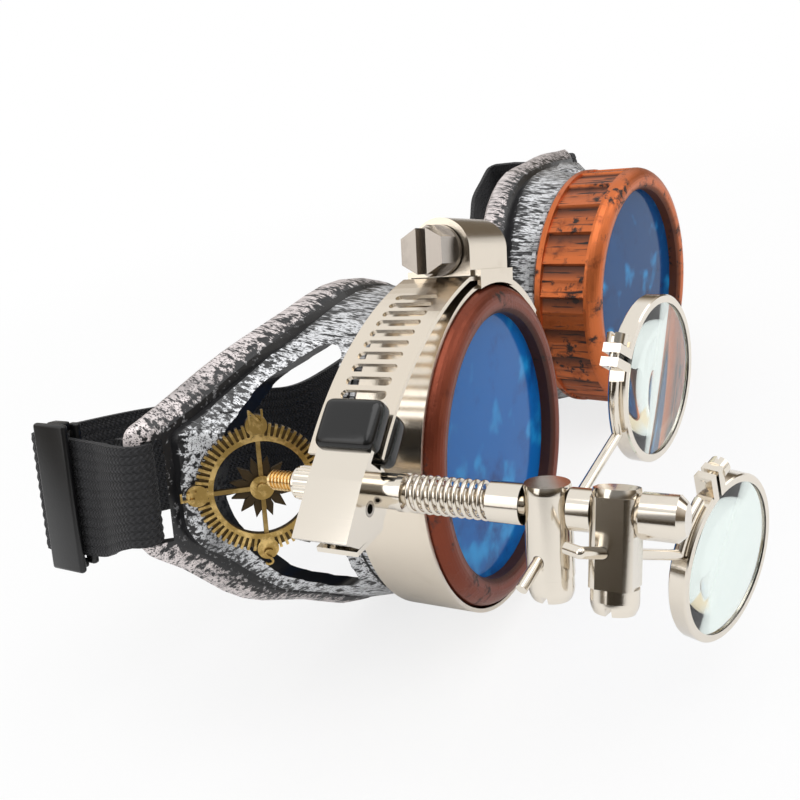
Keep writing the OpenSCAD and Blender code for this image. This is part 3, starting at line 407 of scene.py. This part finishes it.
def lensMaterial(side, name):
    mat, tree, shader = newMaterial(name, Transmission_Weight=0.25, Roughness=0.08, IOR=1.3,
                                    Specular_IOR_Level=0.35)
    local = eyeCoordinates(tree, side)
    cloud = useGroup(tree, patches, {"Vector": local, "Scale": 75, "Cover": 0.5, "Soft": 0.25})
    glints = useGroup(tree, brushStrokes, {"Vector": local, "Across": 120, "Along": 300, "Cover": 0.42,
                                           "Soft": 0.2})
    # spots: lighter glint streaks on the lens, painted reflection
    spots = combine(tree, glints.outputs[0], combine(tree, 1.0, cloud.outputs[0], "SUBTRACT"))
    paintedShade = lensFinish["paintedShade"] if side > 0 else 1
    tones = [[c * paintedShade for c in lensFinish[k][:3]] + [1] for k in ("blue", "deepBlue")]
    blue = mixColour(tree, cloud.outputs[0], *tones)
    tree.links.new(mixColour(tree, spots, blue, lensFinish["glint"]), shader.inputs["Base Color"])
    wave = put(tree, "TexNoise", {"Vector": local, "Scale": 60.0, "Detail": 2.0})
    bumpFrom(tree, shader, wave.outputs["Fac"], 0.15, 0.0006)
    return mat


metalFinish = {
    "clampSteel": {"colour": (0.78, 0.70, 0.59, 1), "tint": (0.55, 0.47, 0.37, 1), "rough": 0.20,
                   "scratch": 0.12},
    "nickel": {"colour": (0.78, 0.72, 0.63, 1), "tint": (0.58, 0.51, 0.42, 1), "rough": 0.12,
               "scratch": 0.05},
    "darkNickel": {"colour": (0.44, 0.40, 0.36, 1), "tint": (0.20, 0.18, 0.16, 1), "rough": 0.24,
                   "scratch": 0.1},
    "threadBrass": {"colour": (0.83, 0.60, 0.30, 1), "tint": (0.50, 0.33, 0.13, 1), "rough": 0.22,
                    "scratch": 0.06},
}


def metalMaterial(name, wrap=False):
    # plated or plain metal with soft smears and fine hair scratches, drawn round the ring where wrap is set
    v = metalFinish[name]
    mat, tree, shader = newMaterial(name, Metallic=1.0)
    local = eyeCoordinates(tree, -1)
    if wrap:
        polar = useGroup(tree, ringSpace, {"Vector": local})
        along = put(tree, "Math", {0: polar.outputs["Angle"], 1: layout["bandR"] * mm}, operation="MULTIPLY")
        scratchAt = put(tree, "CombineXYZ", {"X": polar.outputs["Depth"], "Y": along.outputs[0],
                                             "Z": polar.outputs["Radius"]}).outputs[0]
    else:
        scratchAt = local
    smear = useGroup(tree, patches, {"Vector": local, "Scale": 90, "Cover": 0.35, "Soft": 0.35})
    hair = useGroup(tree, brushStrokes, {"Vector": scratchAt, "Across": 5200, "Along": 90, "Cover": 0.5,
                                         "Soft": 0.3})
    tree.links.new(mixColour(tree, smear.outputs[0], v["colour"], v["tint"]), shader.inputs["Base Color"])
    rough = put(tree, "Math", {0: smear.outputs[0], 1: 0.08, 2: v["rough"]}, operation="MULTIPLY_ADD")
    tree.links.new(rough.outputs[0], shader.inputs["Roughness"])
    bumpFrom(tree, shader, hair.outputs[0], v["scratch"], 0.00004)
    return mat


rodBrass = (15.5, 15.6)  # mm behind the rings' front, where nickel turns to brass


def rodMaterial():
    # the rod: nickel, brass behind the nut
    mat, tree, shader = newMaterial("rodNickel", Metallic=1.0, Roughness=0.16)
    local = eyeCoordinates(tree, -1)
    depth = put(tree, "SeparateXYZ", {0: local}).outputs["Y"]
    brass = put(tree, "MapRange", {"Value": depth, "From Min": rodBrass[0] * mm,
                                   "From Max": rodBrass[1] * mm}).outputs[0]
    tree.links.new(mixColour(tree, brass, metalFinish["nickel"]["colour"],
                             metalFinish["threadBrass"]["colour"]),
                   shader.inputs["Base Color"])
    smear = useGroup(tree, brushStrokes, {"Vector": local, "Across": 900, "Along": 4200, "Cover": 0.4,
                                          "Soft": 0.3})
    bumpFrom(tree, shader, smear.outputs[0], 0.05, 0.00004)
    return mat


compassPlate = {"x": 37.86, "y": 25.662, "z": 1.2, "slope": 45.9, "thick": 1.4, "stand": 0.75,
                "grimeAndShadeTo": 0.9, "rubbedFrom": 1.38,
                "brass": (0.40, 0.26, 0.08, 1), "rubbed": (0.80, 0.56, 0.22, 1),
                # grimeAndShade, below the height grimeAndShadeTo: grime and painted shade in the low parts
                "grimeAndShade": (0.030, 0.018, 0.007, 1)}


def compassFrame():
    v = compassPlate
    return (lugFrame @ Matrix.Translation(Vector((-v["x"], v["y"], v["z"])) * mm)
            @ turned(0, 0, 90 - v["slope"])
            @ Matrix.Translation((-v["stand"] * mm, 0, 0)) @ turned(0, -90, 0))


def compassMaterial():
    v = compassPlate
    mat, tree, shader = newMaterial("antiqueBrass")
    place = put(tree, "TexCoord").outputs["Object"]
    frameAt = compassFrame()
    local = put(tree, "Mapping", {"Vector": place, "Location": frameAt.translation,
                                  "Rotation": frameAt.to_euler()},
                vector_type="TEXTURE").outputs[0]
    height = put(tree, "SeparateXYZ", {0: local}).outputs["Z"]
    top = put(tree, "MapRange", {"Value": height, "From Min": v["grimeAndShadeTo"] * mm,
                                 "From Max": v["rubbedFrom"] * mm}).outputs[0]
    worn = useGroup(tree, patches, {"Vector": local, "Scale": 420, "Cover": 0.62, "Soft": 0.2})
    rubbed = combine(tree, top, worn.outputs[0])
    # low: the parts below grimeAndShadeTo, drawn dark: grime and painted shade
    low = combine(tree, 1.0, top, "SUBTRACT")
    tone = mixColour(tree, rubbed, v["brass"], v["rubbed"])
    tree.links.new(mixColour(tree, combine(tree, low, 0.95), tone, v["grimeAndShade"]), shader.inputs["Base Color"])
    tree.links.new(mixValue(tree, low, 0.95, 0.6), shader.inputs["Metallic"])
    tree.links.new(mixValue(tree, low, 0.3, 0.55), shader.inputs["Roughness"])
    bumpFrom(tree, shader, worn.outputs[0], 0.2, 0.00008)
    return mat


def glassMaterial():
    mat, tree, shader = newMaterial("loupeGlass", Transmission_Weight=1.0, Roughness=0.0, IOR=1.52,
                                    Metallic=0.0)
    place = put(tree, "TexCoord").outputs["Object"]
    haze = useGroup(tree, patches, {"Vector": place, "Scale": 160, "Cover": 0.4, "Soft": 0.4})
    tree.links.new(mixColour(tree, haze.outputs[0], (0.86, 0.95, 0.91, 1), (0.78, 0.90, 0.86, 1)),
                   shader.inputs["Base Color"])
    return mat


def softMaterial(name, colour, rough, grain):
    # moulded rubber or plastic with a fine grain
    mat, tree, shader = newMaterial(name)
    place = put(tree, "TexCoord").outputs["Object"]
    dust = useGroup(tree, patches, {"Vector": place, "Scale": 260, "Cover": 0.35, "Soft": 0.4})
    pale = tuple(min(1, c * 1.5 + 0.002) for c in colour[:3]) + (1,)
    tree.links.new(mixColour(tree, dust.outputs[0], colour, pale), shader.inputs["Base Color"])
    tree.links.new(mixValue(tree, dust.outputs[0], rough, rough + 0.15), shader.inputs["Roughness"])
    fine = put(tree, "TexNoise", {"Vector": place, "Scale": 2600.0, "Detail": 2.0})
    bumpFrom(tree, shader, fine.outputs["Fac"], grain, 0.00006)
    return mat


strapWeave = {"rows": 22, "threads": 300, "colour": (0.004, 0.004, 0.005, 1),
              "glint": (0.022, 0.022, 0.025, 1)}


def elasticMaterial():
    # woven elastic on the piece's own UV map: U along the strap, V across it
    v = strapWeave
    mat, tree, shader = newMaterial("wovenElastic", Roughness=0.7, Sheen_Weight=0.05, Sheen_Roughness=0.4)
    parts = put(tree, "SeparateXYZ", {0: put(tree, "TexCoord").outputs["UV"]})
    row = put(tree, "Math", {0: parts.outputs["Y"], 1: v["rows"] * math.tau}, operation="MULTIPLY")
    thread = put(tree, "Math", {0: parts.outputs["X"], 1: v["threads"] * math.tau}, operation="MULTIPLY")
    shifted = put(tree, "Math", {0: row.outputs[0], 1: 0.5, 2: thread.outputs[0]}, operation="MULTIPLY_ADD")
    crest = put(tree, "Math", {0: row.outputs[0]}, operation="COSINE")
    pick = put(tree, "Math", {0: shifted.outputs[0]}, operation="SINE")
    cloth = put(tree, "Math", {0: crest.outputs[0], 1: pick.outputs[0]}, operation="MULTIPLY")
    level = put(tree, "MapRange", {"Value": cloth.outputs[0], "From Min": -1.0, "From Max": 1.0}).outputs[0]
    tree.links.new(mixColour(tree, level, v["colour"], v["glint"]), shader.inputs["Base Color"])
    bumpFrom(tree, shader, level, 0.8, 0.00025)
    return mat


finishes = {
    "rightCup": cupMaterial(-1, "cupRight"), "leftCup": cupMaterial(1, "cupLeft"),
    "rightRing": copperMaterial(-1, "copperRight"), "leftRing": copperMaterial(1, "copperLeft"),
    "rightLens": lensMaterial(-1, "lensRight"), "leftLens": lensMaterial(1, "lensLeft"),
    "clamp": metalMaterial("clampSteel", wrap=True), "nickel": metalMaterial("nickel"),
    "darkNickel": metalMaterial("darkNickel"), "brass": metalMaterial("threadBrass"), "rod": rodMaterial(),
    "compass": compassMaterial(), "glass": glassMaterial(), "elastic": elasticMaterial(),
    "rubber": softMaterial("blackRubber", (0.004, 0.004, 0.004, 1), 0.20, 0.12),
    "plastic": softMaterial("blackPlastic", (0.004, 0.004, 0.0045, 1), 0.30, 0.2),
}
wearers = {
    "rightCup": ["right_cup"], "leftCup": ["left_cup"],
    "rightRing": ["right_ring"], "leftRing": ["left_ring"],
    "rightLens": ["right_lens"], "leftLens": ["left_lens"], "clamp": ["clamp_band", "clamp_housing"],
    "nickel": ["clip_outer_lever", "clip_inner_lever", "knurled_nut", "rod_collar", "rear_sleeve",
               "front_sleeve", "end_cap", "rear_block", "front_block", "rear_block_screw",
               "front_block_screw", "rear_arm", "front_arm", "rear_rim", "front_rim", "rear_rim_screw",
               "front_rim_screw", "right_stud", "left_stud", "clip_spring", "rod_spring"],
    "darkNickel": ["clip_pin", "worm_screw"], "rod": ["loupe_rod"], "compass": ["compass"],
    "glass": ["rear_loupe_lens", "front_loupe_lens"], "elastic": ["strap"], "plastic": ["strap_slider"],
    "rubber": ["right_gasket", "left_gasket", "outer_jaw_sleeve", "inner_jaw_sleeve", "nose_bridge"],
}
for finish, group in wearers.items():
    for name in group:
        nodes[name].data.materials.clear()
        nodes[name].data.materials.append(finishes[finish])
print("materials on the nodes")


# Strap: woven elastic from bar to bar, over the same line as its solid
strapPiece = {
    "bar": (-50.155, 39.532), "round": 2.3, "tuck": 6, "low": 2.05, "pinch": 0.79,
    "line": [(-52, 42.8, 1.5, 0.84), (-50.8, 46, 0.8, 0.9), (-49.6, 49.2, 0, 0.95), (-49.4, 57, 0, 1),
             (-49.2, 61.5, 0, 1), (-49, 63.8, 0, 1), (-47.6, 65, 0, 1), (-45.6, 64.9, 0, 1),
             (-40, 63.8, 0, 1), (-30, 61.6, 0, 1), (-18, 56, 0, 1), (-6, 51, 0, 1), (8, 47.6, 0, 1)],
    "width": 20, "thick": 1.1, "rows": 12, "rowHeight": 0.22, "step": 0.9,
}


def strapCurve():
    v = strapPiece
    bx, by = v["bar"]
    angles = [math.radians(a) for a in range(0, -181, -45)]
    turn = [(bx + v["round"], by + v["tuck"])]
    turn += [(bx + v["round"] * math.cos(a), by + v["round"] * math.sin(a)) for a in angles]
    line = [(x, y, v["low"], v["pinch"]) for x, y in turn] + v["line"]
    half = [lugFrame @ (Vector(p[:3]) * mm) for p in line]
    shares = [p[3] for p in line] + [1] + [p[3] for p in reversed(line)]
    up = (lugFrame.to_3x3() @ Vector((0, 0, 1))).normalized()
    last = half[-1]
    middle = Vector((0, last.y - 0.6 * mm, last.z - 1 * mm))
    points = half + [middle] + [Vector((-p.x, p.y, p.z)) for p in reversed(half)]
    ups = [up] * len(half) + [Vector((0, 0, 1))] + [Vector((-up.x, up.y, up.z))] * len(half)
    line, sides, widths = [], [], []
    for i in range(len(points) - 1):
        a, b = points[i], points[i + 1]
        before, after = points[max(i - 1, 0)], points[min(i + 2, len(points) - 1)]
        count = max(1, round((b - a).length / (v["step"] * mm)))
        for k in range(count):
            t = k / count
            line.append(0.5 * (2 * a + (b - before) * t + (2 * before - 5 * a + 4 * b - after) * t * t
                               + (3 * a - before - 3 * b + after) * t * t * t))
            sides.append(ups[i].lerp(ups[i + 1], t).normalized())
            widths.append(shares[i] + (shares[i + 1] - shares[i]) * t)
    return line + [points[-1]], sides + [ups[-1]], widths + [shares[-1]]


def makeStrap():
    v = strapPiece
    line, sides, widths = strapCurve()
    columns = v["rows"] * 4
    bpy.ops.mesh.primitive_grid_add(x_subdivisions=len(line) - 1, y_subdivisions=columns, size=1,
                                    calc_uvs=True)
    obj = named("elasticStrap")
    for vert in obj.data.vertices:
        i = min(len(line) - 1, round((vert.co.x + 0.5) * (len(line) - 1)))
        s = vert.co.y
        along = (line[min(i + 1, len(line) - 1)] - line[max(i - 1, 0)]).normalized()
        out = along.cross(sides[i]).normalized()
        rib = math.cos(s * v["rows"] * math.tau) * v["rowHeight"] / 2
        edge = max(0, abs(s) - 0.46) / 0.04
        vert.co = line[i] + sides[i] * s * v["width"] * widths[i] * mm + out * (rib * (1 - edge)) * mm
    addModifier(obj, "thickness", "SOLIDIFY", thickness=v["thick"] * mm, offset=0)
    applyModifiers(obj)
    settle(obj, Matrix(), None, finishes["elastic"], smooth=60)
    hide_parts("strap")
    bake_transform(obj)
    return obj


strap = makeStrap()
print("strap:", len(strap.data.polygons), "faces")


# Springs and threads: one profile turned by the screw modifier along a piece's own Z
def coil(name, radius, wire, start, end, turns, steps=20, sides=10, profile=None):
    bpy.ops.mesh.primitive_circle_add(vertices=sides, radius=wire * mm, location=(0, 0, 0),
                                      rotation=(math.pi / 2, 0, 0), fill_type="NOTHING")
    obj = named(name)
    bpy.ops.object.transform_apply(location=True, rotation=True, scale=True)
    if profile:
        for vert, (r, z) in zip(obj.data.vertices, profile):
            vert.co = Vector((r, 0, z)) * mm
    else:
        obj.data.transform(Matrix.Translation((radius * mm, 0, 0)))
    obj.data.transform(Matrix.Translation((0, 0, start * mm)))
    addModifier(obj, "turns", "SCREW", screw_offset=(end - start) / turns * mm, iterations=int(turns),
                steps=steps, render_steps=steps, angle=math.tau, axis="Z", use_normal_calculate=True,
                use_merge_vertices=False)
    applyModifiers(obj)
    bpy.ops.object.mode_set(mode="EDIT")
    bpy.ops.mesh.select_all(action="SELECT")
    bpy.ops.mesh.remove_doubles(threshold=1e-7)
    bpy.ops.mesh.select_all(action="DESELECT")
    bpy.ops.mesh.select_non_manifold(extend=False, use_boundary=True)
    bpy.ops.mesh.edge_face_add()
    bpy.ops.mesh.select_all(action="SELECT")
    bpy.ops.mesh.normals_make_consistent(inside=False)
    bpy.ops.object.mode_set(mode="OBJECT")
    return obj


rodParts = {"springRadius": 2.43, "springWire": 0.32, "springFront": -15.38, "springBack": -3.62,
            "springTurns": 10, "threadPitch": 0.62, "threadFrom": 16.1, "threadTo": 20.7}
alongRod = turned(-90, 0, 0)  # a piece's Z becomes the rod's Y

v = rodParts
spring = coil("rodSpringWire", v["springRadius"], v["springWire"], v["springFront"], v["springBack"],
              v["springTurns"], steps=28)
settle(spring, rodFrame @ alongRod, "loupe", finishes["nickel"], smooth=60)
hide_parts("rod_spring")
turnsThere = round((v["threadTo"] - v["threadFrom"]) / v["threadPitch"])
thread = coil("rodThread", 0, 0.2, v["threadFrom"], v["threadFrom"] + turnsThere * v["threadPitch"],
              turnsThere, steps=28, sides=4, profile=[(1.1, -0.2), (1.1, 0.2), (1.55, 0.05), (1.55, -0.05)])
settle(thread, rodFrame @ alongRod, "loupe", finishes["brass"], smooth=30)
print("spring and thread")


# Rubber sleeves on the clip's jaws
sleeves = {"from": 3.5, "length": 8, "width": 10, "thick": 4, "round": 1.5, "leverFront": 1.35,
           "outer": 4.785, "inner": -0.23}


def makeSleeve(name, node, height, body):
    v = sleeves
    bpy.ops.mesh.primitive_cube_add(size=1, location=((v["from"] + v["length"] / 2) * mm,
                                    (v["leverFront"] - 0.5 + v["width"] / 2) * mm, height * mm))
    obj = named(name)
    obj.scale = (v["length"] * mm, v["width"] * mm, v["thick"] * mm)
    bpy.ops.object.transform_apply(location=False, rotation=False, scale=True)
    addModifier(obj, "round", "BEVEL", width=v["round"] * mm, segments=5, limit_method="NONE")
    addModifier(obj, "fine", "SUBSURF", levels=1, render_levels=1)
    applyModifiers(obj)
    settle(obj, clipFrame, body, finishes["rubber"], smooth=70)
    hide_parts(node)
    return obj


makeSleeve("outerJawRubber", "outer_jaw_sleeve", sleeves["outer"], "loupe")
makeSleeve("innerJawRubber", "inner_jaw_sleeve", sleeves["inner"], "clamp")
print("jaw sleeves")


# Slider on the strap's fold: a broad rounded blade outside, two rails and two bars behind
slider = {"at": (-49.4, 57, 0), "before": (-49.6, 49.2), "after": (-49.2, 61.5), "long": 7.6, "tall": 25,
          "gap": 2, "plate": 1.3, "round": 0.6, "barAt": 1.8, "barHalf": 1, "railHalf": 0.8, "barShort": 0.4}


def roundedBox(name, low, high, bevel, segments=3):
    bpy.ops.mesh.primitive_cube_add(size=1, location=[(a + b) / 2 * mm for a, b in zip(low, high)])
    obj = named(name)
    obj.scale = [(b - a) * mm for a, b in zip(low, high)]
    bpy.ops.object.transform_apply(location=False, rotation=False, scale=True)
    addModifier(obj, "round", "BEVEL", width=bevel * mm, segments=segments, limit_method="NONE")
    applyModifiers(obj)
    return obj


def makeSlider():
    v = slider
    half, tall, side = v["long"] / 2, v["tall"] / 2, v["gap"] / 2
    turn = math.degrees(math.atan2(v["after"][1] - v["before"][1], v["after"][0] - v["before"][0]))
    place = lugFrame @ Matrix.Translation(Vector(v["at"]) * mm) @ turned(0, 0, turn)
    blade = roundedBox("sliderBlade", (-half, side, -tall), (half, side + v["plate"], tall), v["round"], 4)
    settle(blade, place, "slider", finishes["plastic"], smooth=60)
    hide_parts("strap_slider")
    for end in (-1, 1):
        middle = end * (tall - v["railHalf"])
        rail = roundedBox("sliderRail" + ("Low" if end < 0 else "High"),
                          (-v["barAt"], -side, middle - v["railHalf"]),
                          (v["barAt"], side + 0.1, middle + v["railHalf"]), 0.4)
        settle(rail, place, "slider", finishes["plastic"], smooth=60)
        bar = roundedBox("sliderBar" + ("Front" if end < 0 else "Back"),
                         (end * v["barAt"] - v["barHalf"], -side - v["plate"], v["barShort"] - tall),
                         (end * v["barAt"] + v["barHalf"], -side, tall - v["barShort"]), 0.45)
        settle(bar, place, "slider", finishes["plastic"], smooth=60)


makeSlider()


# Soft rings behind the lenses and the soft strip between the cups
softRing = {"radius": 24.25, "wire": 0.58, "depth": 4.8}
for side, node in ((-1, "right_gasket"), (1, "left_gasket")):
    bpy.ops.mesh.primitive_torus_add(major_radius=softRing["radius"] * mm, minor_radius=softRing["wire"] * mm,
                                     major_segments=96, minor_segments=12, rotation=(math.pi / 2, 0, 0))
    ringPiece = named("softRing" + ("Right" if side < 0 else "Left"))
    settle(ringPiece, eyeMatrix(side) @ Matrix.Translation((0, softRing["depth"] * mm, 0)),
           "right_side" if side < 0 else "left_side", finishes["rubber"], smooth=70)
    if side > 0:
        selectOnly(ringPiece)
        bpy.ops.object.mode_set(mode="EDIT")
        bpy.ops.mesh.select_all(action="SELECT")
        bpy.ops.mesh.normals_make_consistent(inside=False)
        bpy.ops.object.mode_set(mode="OBJECT")
    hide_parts(node)

bridge = {"depth": 20.65, "cupEnd": 30.9, "tabEnd": 36.4, "width": 12, "thick": 1.45}


def makeBridge():
    v = bridge
    outer = eye @ (Vector((v["cupEnd"], v["depth"], 0)) * mm)
    inner = eye @ (Vector((v["tabEnd"], v["depth"], 0)) * mm)
    line = [outer, inner, Vector((-inner.x, inner.y, 0)), Vector((-outer.x, outer.y, 0))]
    bpy.ops.mesh.primitive_cube_add(size=1)
    obj = named("noseStrip")
    obj.scale = (line[3].x - line[0].x, v["thick"] * mm, v["width"] * mm)
    bpy.ops.object.transform_apply(location=False, rotation=False, scale=True)
    addModifier(obj, "round", "BEVEL", width=0.5 * mm, segments=3, limit_method="NONE")
    applyModifiers(obj)
    bpy.ops.object.mode_set(mode="EDIT")
    bpy.ops.mesh.select_all(action="SELECT")
    bpy.ops.mesh.subdivide(number_cuts=8)
    bpy.ops.object.mode_set(mode="OBJECT")
    for vert in obj.data.vertices:
        x = abs(vert.co.x)
        t = min(1, max(0, (x + inner.x) / (inner.x - outer.x)))
        vert.co.y += inner.y + (outer.y - inner.y) * t
    settle(obj, Matrix(), None, finishes["rubber"], smooth=50)
    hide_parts("nose_bridge")
    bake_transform(obj)


makeBridge()
print("slider, soft rings and nose strip")


# Loupe lenses: thick glass, curved on both faces, at the ends of the arms
loupes = {
    "rear": {"y": -23.4, "tilt": 15, "aim": (-9.5, -11.7), "reach": 35.4},
    "front": {"y": -32.2, "tilt": 25, "aim": (-18, 33.3), "reach": 29.7},
    "drop": 5, "radius": 12, "edge": 0.93, "crown": 1.1,
}


def loupeFrame(which):
    v = loupes[which]
    tilt = math.radians(v["tilt"])
    hole = Matrix.Translation(Vector((rodX - loupes["drop"] * math.sin(tilt), v["y"],
                                      rodZ - loupes["drop"] * math.cos(tilt))) * mm)
    return (eye @ hole @ turned(0, 0, v["aim"][0]) @ turned(0, v["aim"][1], 0)
            @ Matrix.Translation((v["reach"] * mm, 0, 0)))


def makeLoupeLens(which):
    v = loupes
    bpy.ops.mesh.primitive_uv_sphere_add(segments=96, ring_count=48, radius=1)
    obj = named(which + "LoupeGlass")
    for vert in obj.data.vertices:
        x, y, z = vert.co
        flat = min(1, math.hypot(x, y))
        side = 0 if abs(z) < 0.01 else math.copysign(1, z)
        vert.co = Vector((x * v["radius"], y * v["radius"],
                          side * (v["edge"] + v["crown"] * (1 - flat * flat)))) * mm
    settle(obj, loupeFrame(which) @ turned(90, 0, 0), which + "_lens", finishes["glass"],
           smooth=60)
    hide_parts(which + "_loupe_lens")


makeLoupeLens("rear")
makeLoupeLens("front")
print("loupe lenses")


# Compass letters on the four lugs
marks = {"size": 3.7, "rise": 0.5, "reach": 11.1, "letters": "NESW"}


def makeMark(letter, angle):
    bpy.ops.object.text_add(location=(0, 0, 0))
    obj = named("compassMark" + letter)
    obj.data.body = letter
    obj.data.size = marks["size"] * mm
    obj.data.extrude = marks["rise"] * mm / 2
    obj.data.align_x, obj.data.align_y = "CENTER", "CENTER"
    obj.data.resolution_u = 3
    bpy.ops.object.convert(target="MESH")
    obj = named("compassMark" + letter)
    place = (compassFrame() @ turned(0, 0, angle) @ Matrix.Translation((marks["reach"] * mm, 0,
             (compassPlate["thick"] + marks["rise"] / 2) * mm)) @ turned(0, 0, -90))
    return settle(obj, place, "right_side", finishes["compass"], smooth=0)


for i, letter in enumerate(marks["letters"]):
    makeMark(letter, i * 90)
print("compass marks")


# Floor, light and camera
studio = {
    "floorGap": 0.4, "floorSize": 30.0, "clear": (0.12, 0.45), "share": 0.78,
    "sky": 0.75,
    "lamps": {  # place in m, power in W, sides in m
        "overhead": ((-0.1, -0.15, 0.6), 1.4, (0.5, 0.5)),
        "left": ((-0.55, 0.25, 0.35), 0.7, (0.3, 0.6)),
        "right": ((0.35, -0.5, 0.25), 0.6, (0.3, 0.5)),
    },
    "camera": (-0.16125, -0.07019, 0.07558), "azimuth": -53.096, "elevation": 24.126, "roll": -12.708,
    "lens": 39.206,
}


def makeFloor():
    v = studio
    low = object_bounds()[0].z
    bpy.ops.mesh.primitive_plane_add(size=v["floorSize"], location=(0, 0, low - v["floorGap"] * mm))
    floor = named("floor")
    mat = bpy.data.materials.new("paleFloor")
    mat.use_nodes = True
    tree = mat.node_tree
    tree.nodes.clear()
    plain = put(tree, "BsdfDiffuse", {"Color": (0.9, 0.9, 0.9, 1)})
    glow = put(tree, "Emission", {"Color": (1, 1, 1, 1), "Strength": 1.0})
    path = put(tree, "LightPath")
    seen = put(tree, "Math", {0: path.outputs["Is Camera Ray"], 1: path.outputs["Is Transmission Ray"]},
               operation="MAXIMUM")
    away = put(tree, "VectorMath", {0: put(tree, "TexCoord").outputs["Object"]}, operation="LENGTH")
    share = put(tree, "MapRange", {"Value": away.outputs["Value"], "From Min": v["clear"][0],
                                   "From Max": v["clear"][1],
                                   "To Min": v["share"], "To Max": 1.0}, interpolation_type="SMOOTHSTEP")
    part = put(tree, "Math", {0: seen.outputs[0], 1: share.outputs[0]}, operation="MULTIPLY")
    both = put(tree, "MixShader", {0: part.outputs[0], 1: plain.outputs[0], 2: glow.outputs[0]})
    put(tree, "OutputMaterial", {"Surface": both.outputs[0]})
    floor.data.materials.append(mat)


def makeWorld():
    world = bpy.data.worlds.new("studio")
    bpy.context.scene.world = world
    world.use_nodes = True
    tree = world.node_tree
    tree.nodes.clear()
    path = put(tree, "LightPath")
    toward = put(tree, "TexCoord").outputs["Generated"]
    # metal sees a darker room on the side where the photographer stands
    side = put(tree, "VectorMath", {0: toward, 1: Vector(studio["camera"]).normalized()},
               operation="DOT_PRODUCT")
    room = put(tree, "MapRange", {"Value": side.outputs["Value"], "From Min": 0.55, "From Max": 0.9,
                                  "To Min": 1.0, "To Max": 0.25}, interpolation_type="SMOOTHSTEP").outputs[0]
    height = put(tree, "SeparateXYZ", {0: toward}).outputs["Z"]
    wallBand = put(tree, "MapRange", {"Value": height, "From Min": 0.15, "From Max": 0.55, "To Min": 0.14,
                                      "To Max": 1.0},
                   interpolation_type="SMOOTHSTEP").outputs[0]
    glossy = put(tree, "Math", {0: room, 1: wallBand}, operation="MULTIPLY")
    isGlossy = put(tree, "Mix", {0: path.outputs["Is Glossy Ray"], 2: studio["sky"], 3: glossy.outputs[0]},
                   data_type="FLOAT")
    seen = put(tree, "Math", {0: path.outputs["Is Camera Ray"], 1: path.outputs["Is Transmission Ray"]},
               operation="MAXIMUM")
    strength = put(tree, "Mix", {0: seen.outputs[0], 2: isGlossy.outputs[0], 3: 1.0}, data_type="FLOAT")
    warm = combine(tree, combine(tree, 1.0, wallBand, "SUBTRACT"), path.outputs["Is Glossy Ray"])
    tone = mixColour(tree, warm, (1, 1, 1, 1), (1.0, 0.78, 0.52, 1))
    back = put(tree, "Background", {"Color": tone, "Strength": strength.outputs[0]})
    put(tree, "OutputWorld", {"Surface": back.outputs[0]})


def softbox(name, place, power, size):
    bpy.ops.object.light_add(type="AREA", location=place)
    lamp = bpy.context.object
    lamp.name = name
    lamp.data.energy = power
    lamp.data.shape = "RECTANGLE"
    lamp.data.size, lamp.data.size_y = size
    lamp.rotation_euler = (-Vector(place)).to_track_quat("-Z", "Y").to_euler()


def makeCamera():
    v = studio
    a, e = math.radians(v["azimuth"]), math.radians(v["elevation"])
    back = Vector((math.sin(a) * math.cos(e), -math.cos(a) * math.cos(e), math.sin(e)))
    bpy.ops.object.camera_add(location=v["camera"])
    camera = bpy.context.object
    camera.name = "camera"
    camera.rotation_mode = "QUATERNION"
    camera.rotation_quaternion = ((-back).to_track_quat("-Z", "Y")
                                  @ Quaternion((0, 0, 1), math.radians(v["roll"])))
    camera.data.lens = v["lens"]
    camera.data.sensor_width = 36
    camera.data.clip_start, camera.data.clip_end = 0.005, 60
    bpy.context.scene.camera = camera


makeFloor()
makeWorld()
for name, (place, power, size) in studio["lamps"].items():
    softbox(name, place, power, size)
makeCamera()
bpy.context.scene.view_settings.view_transform = "Standard"
print("studio")
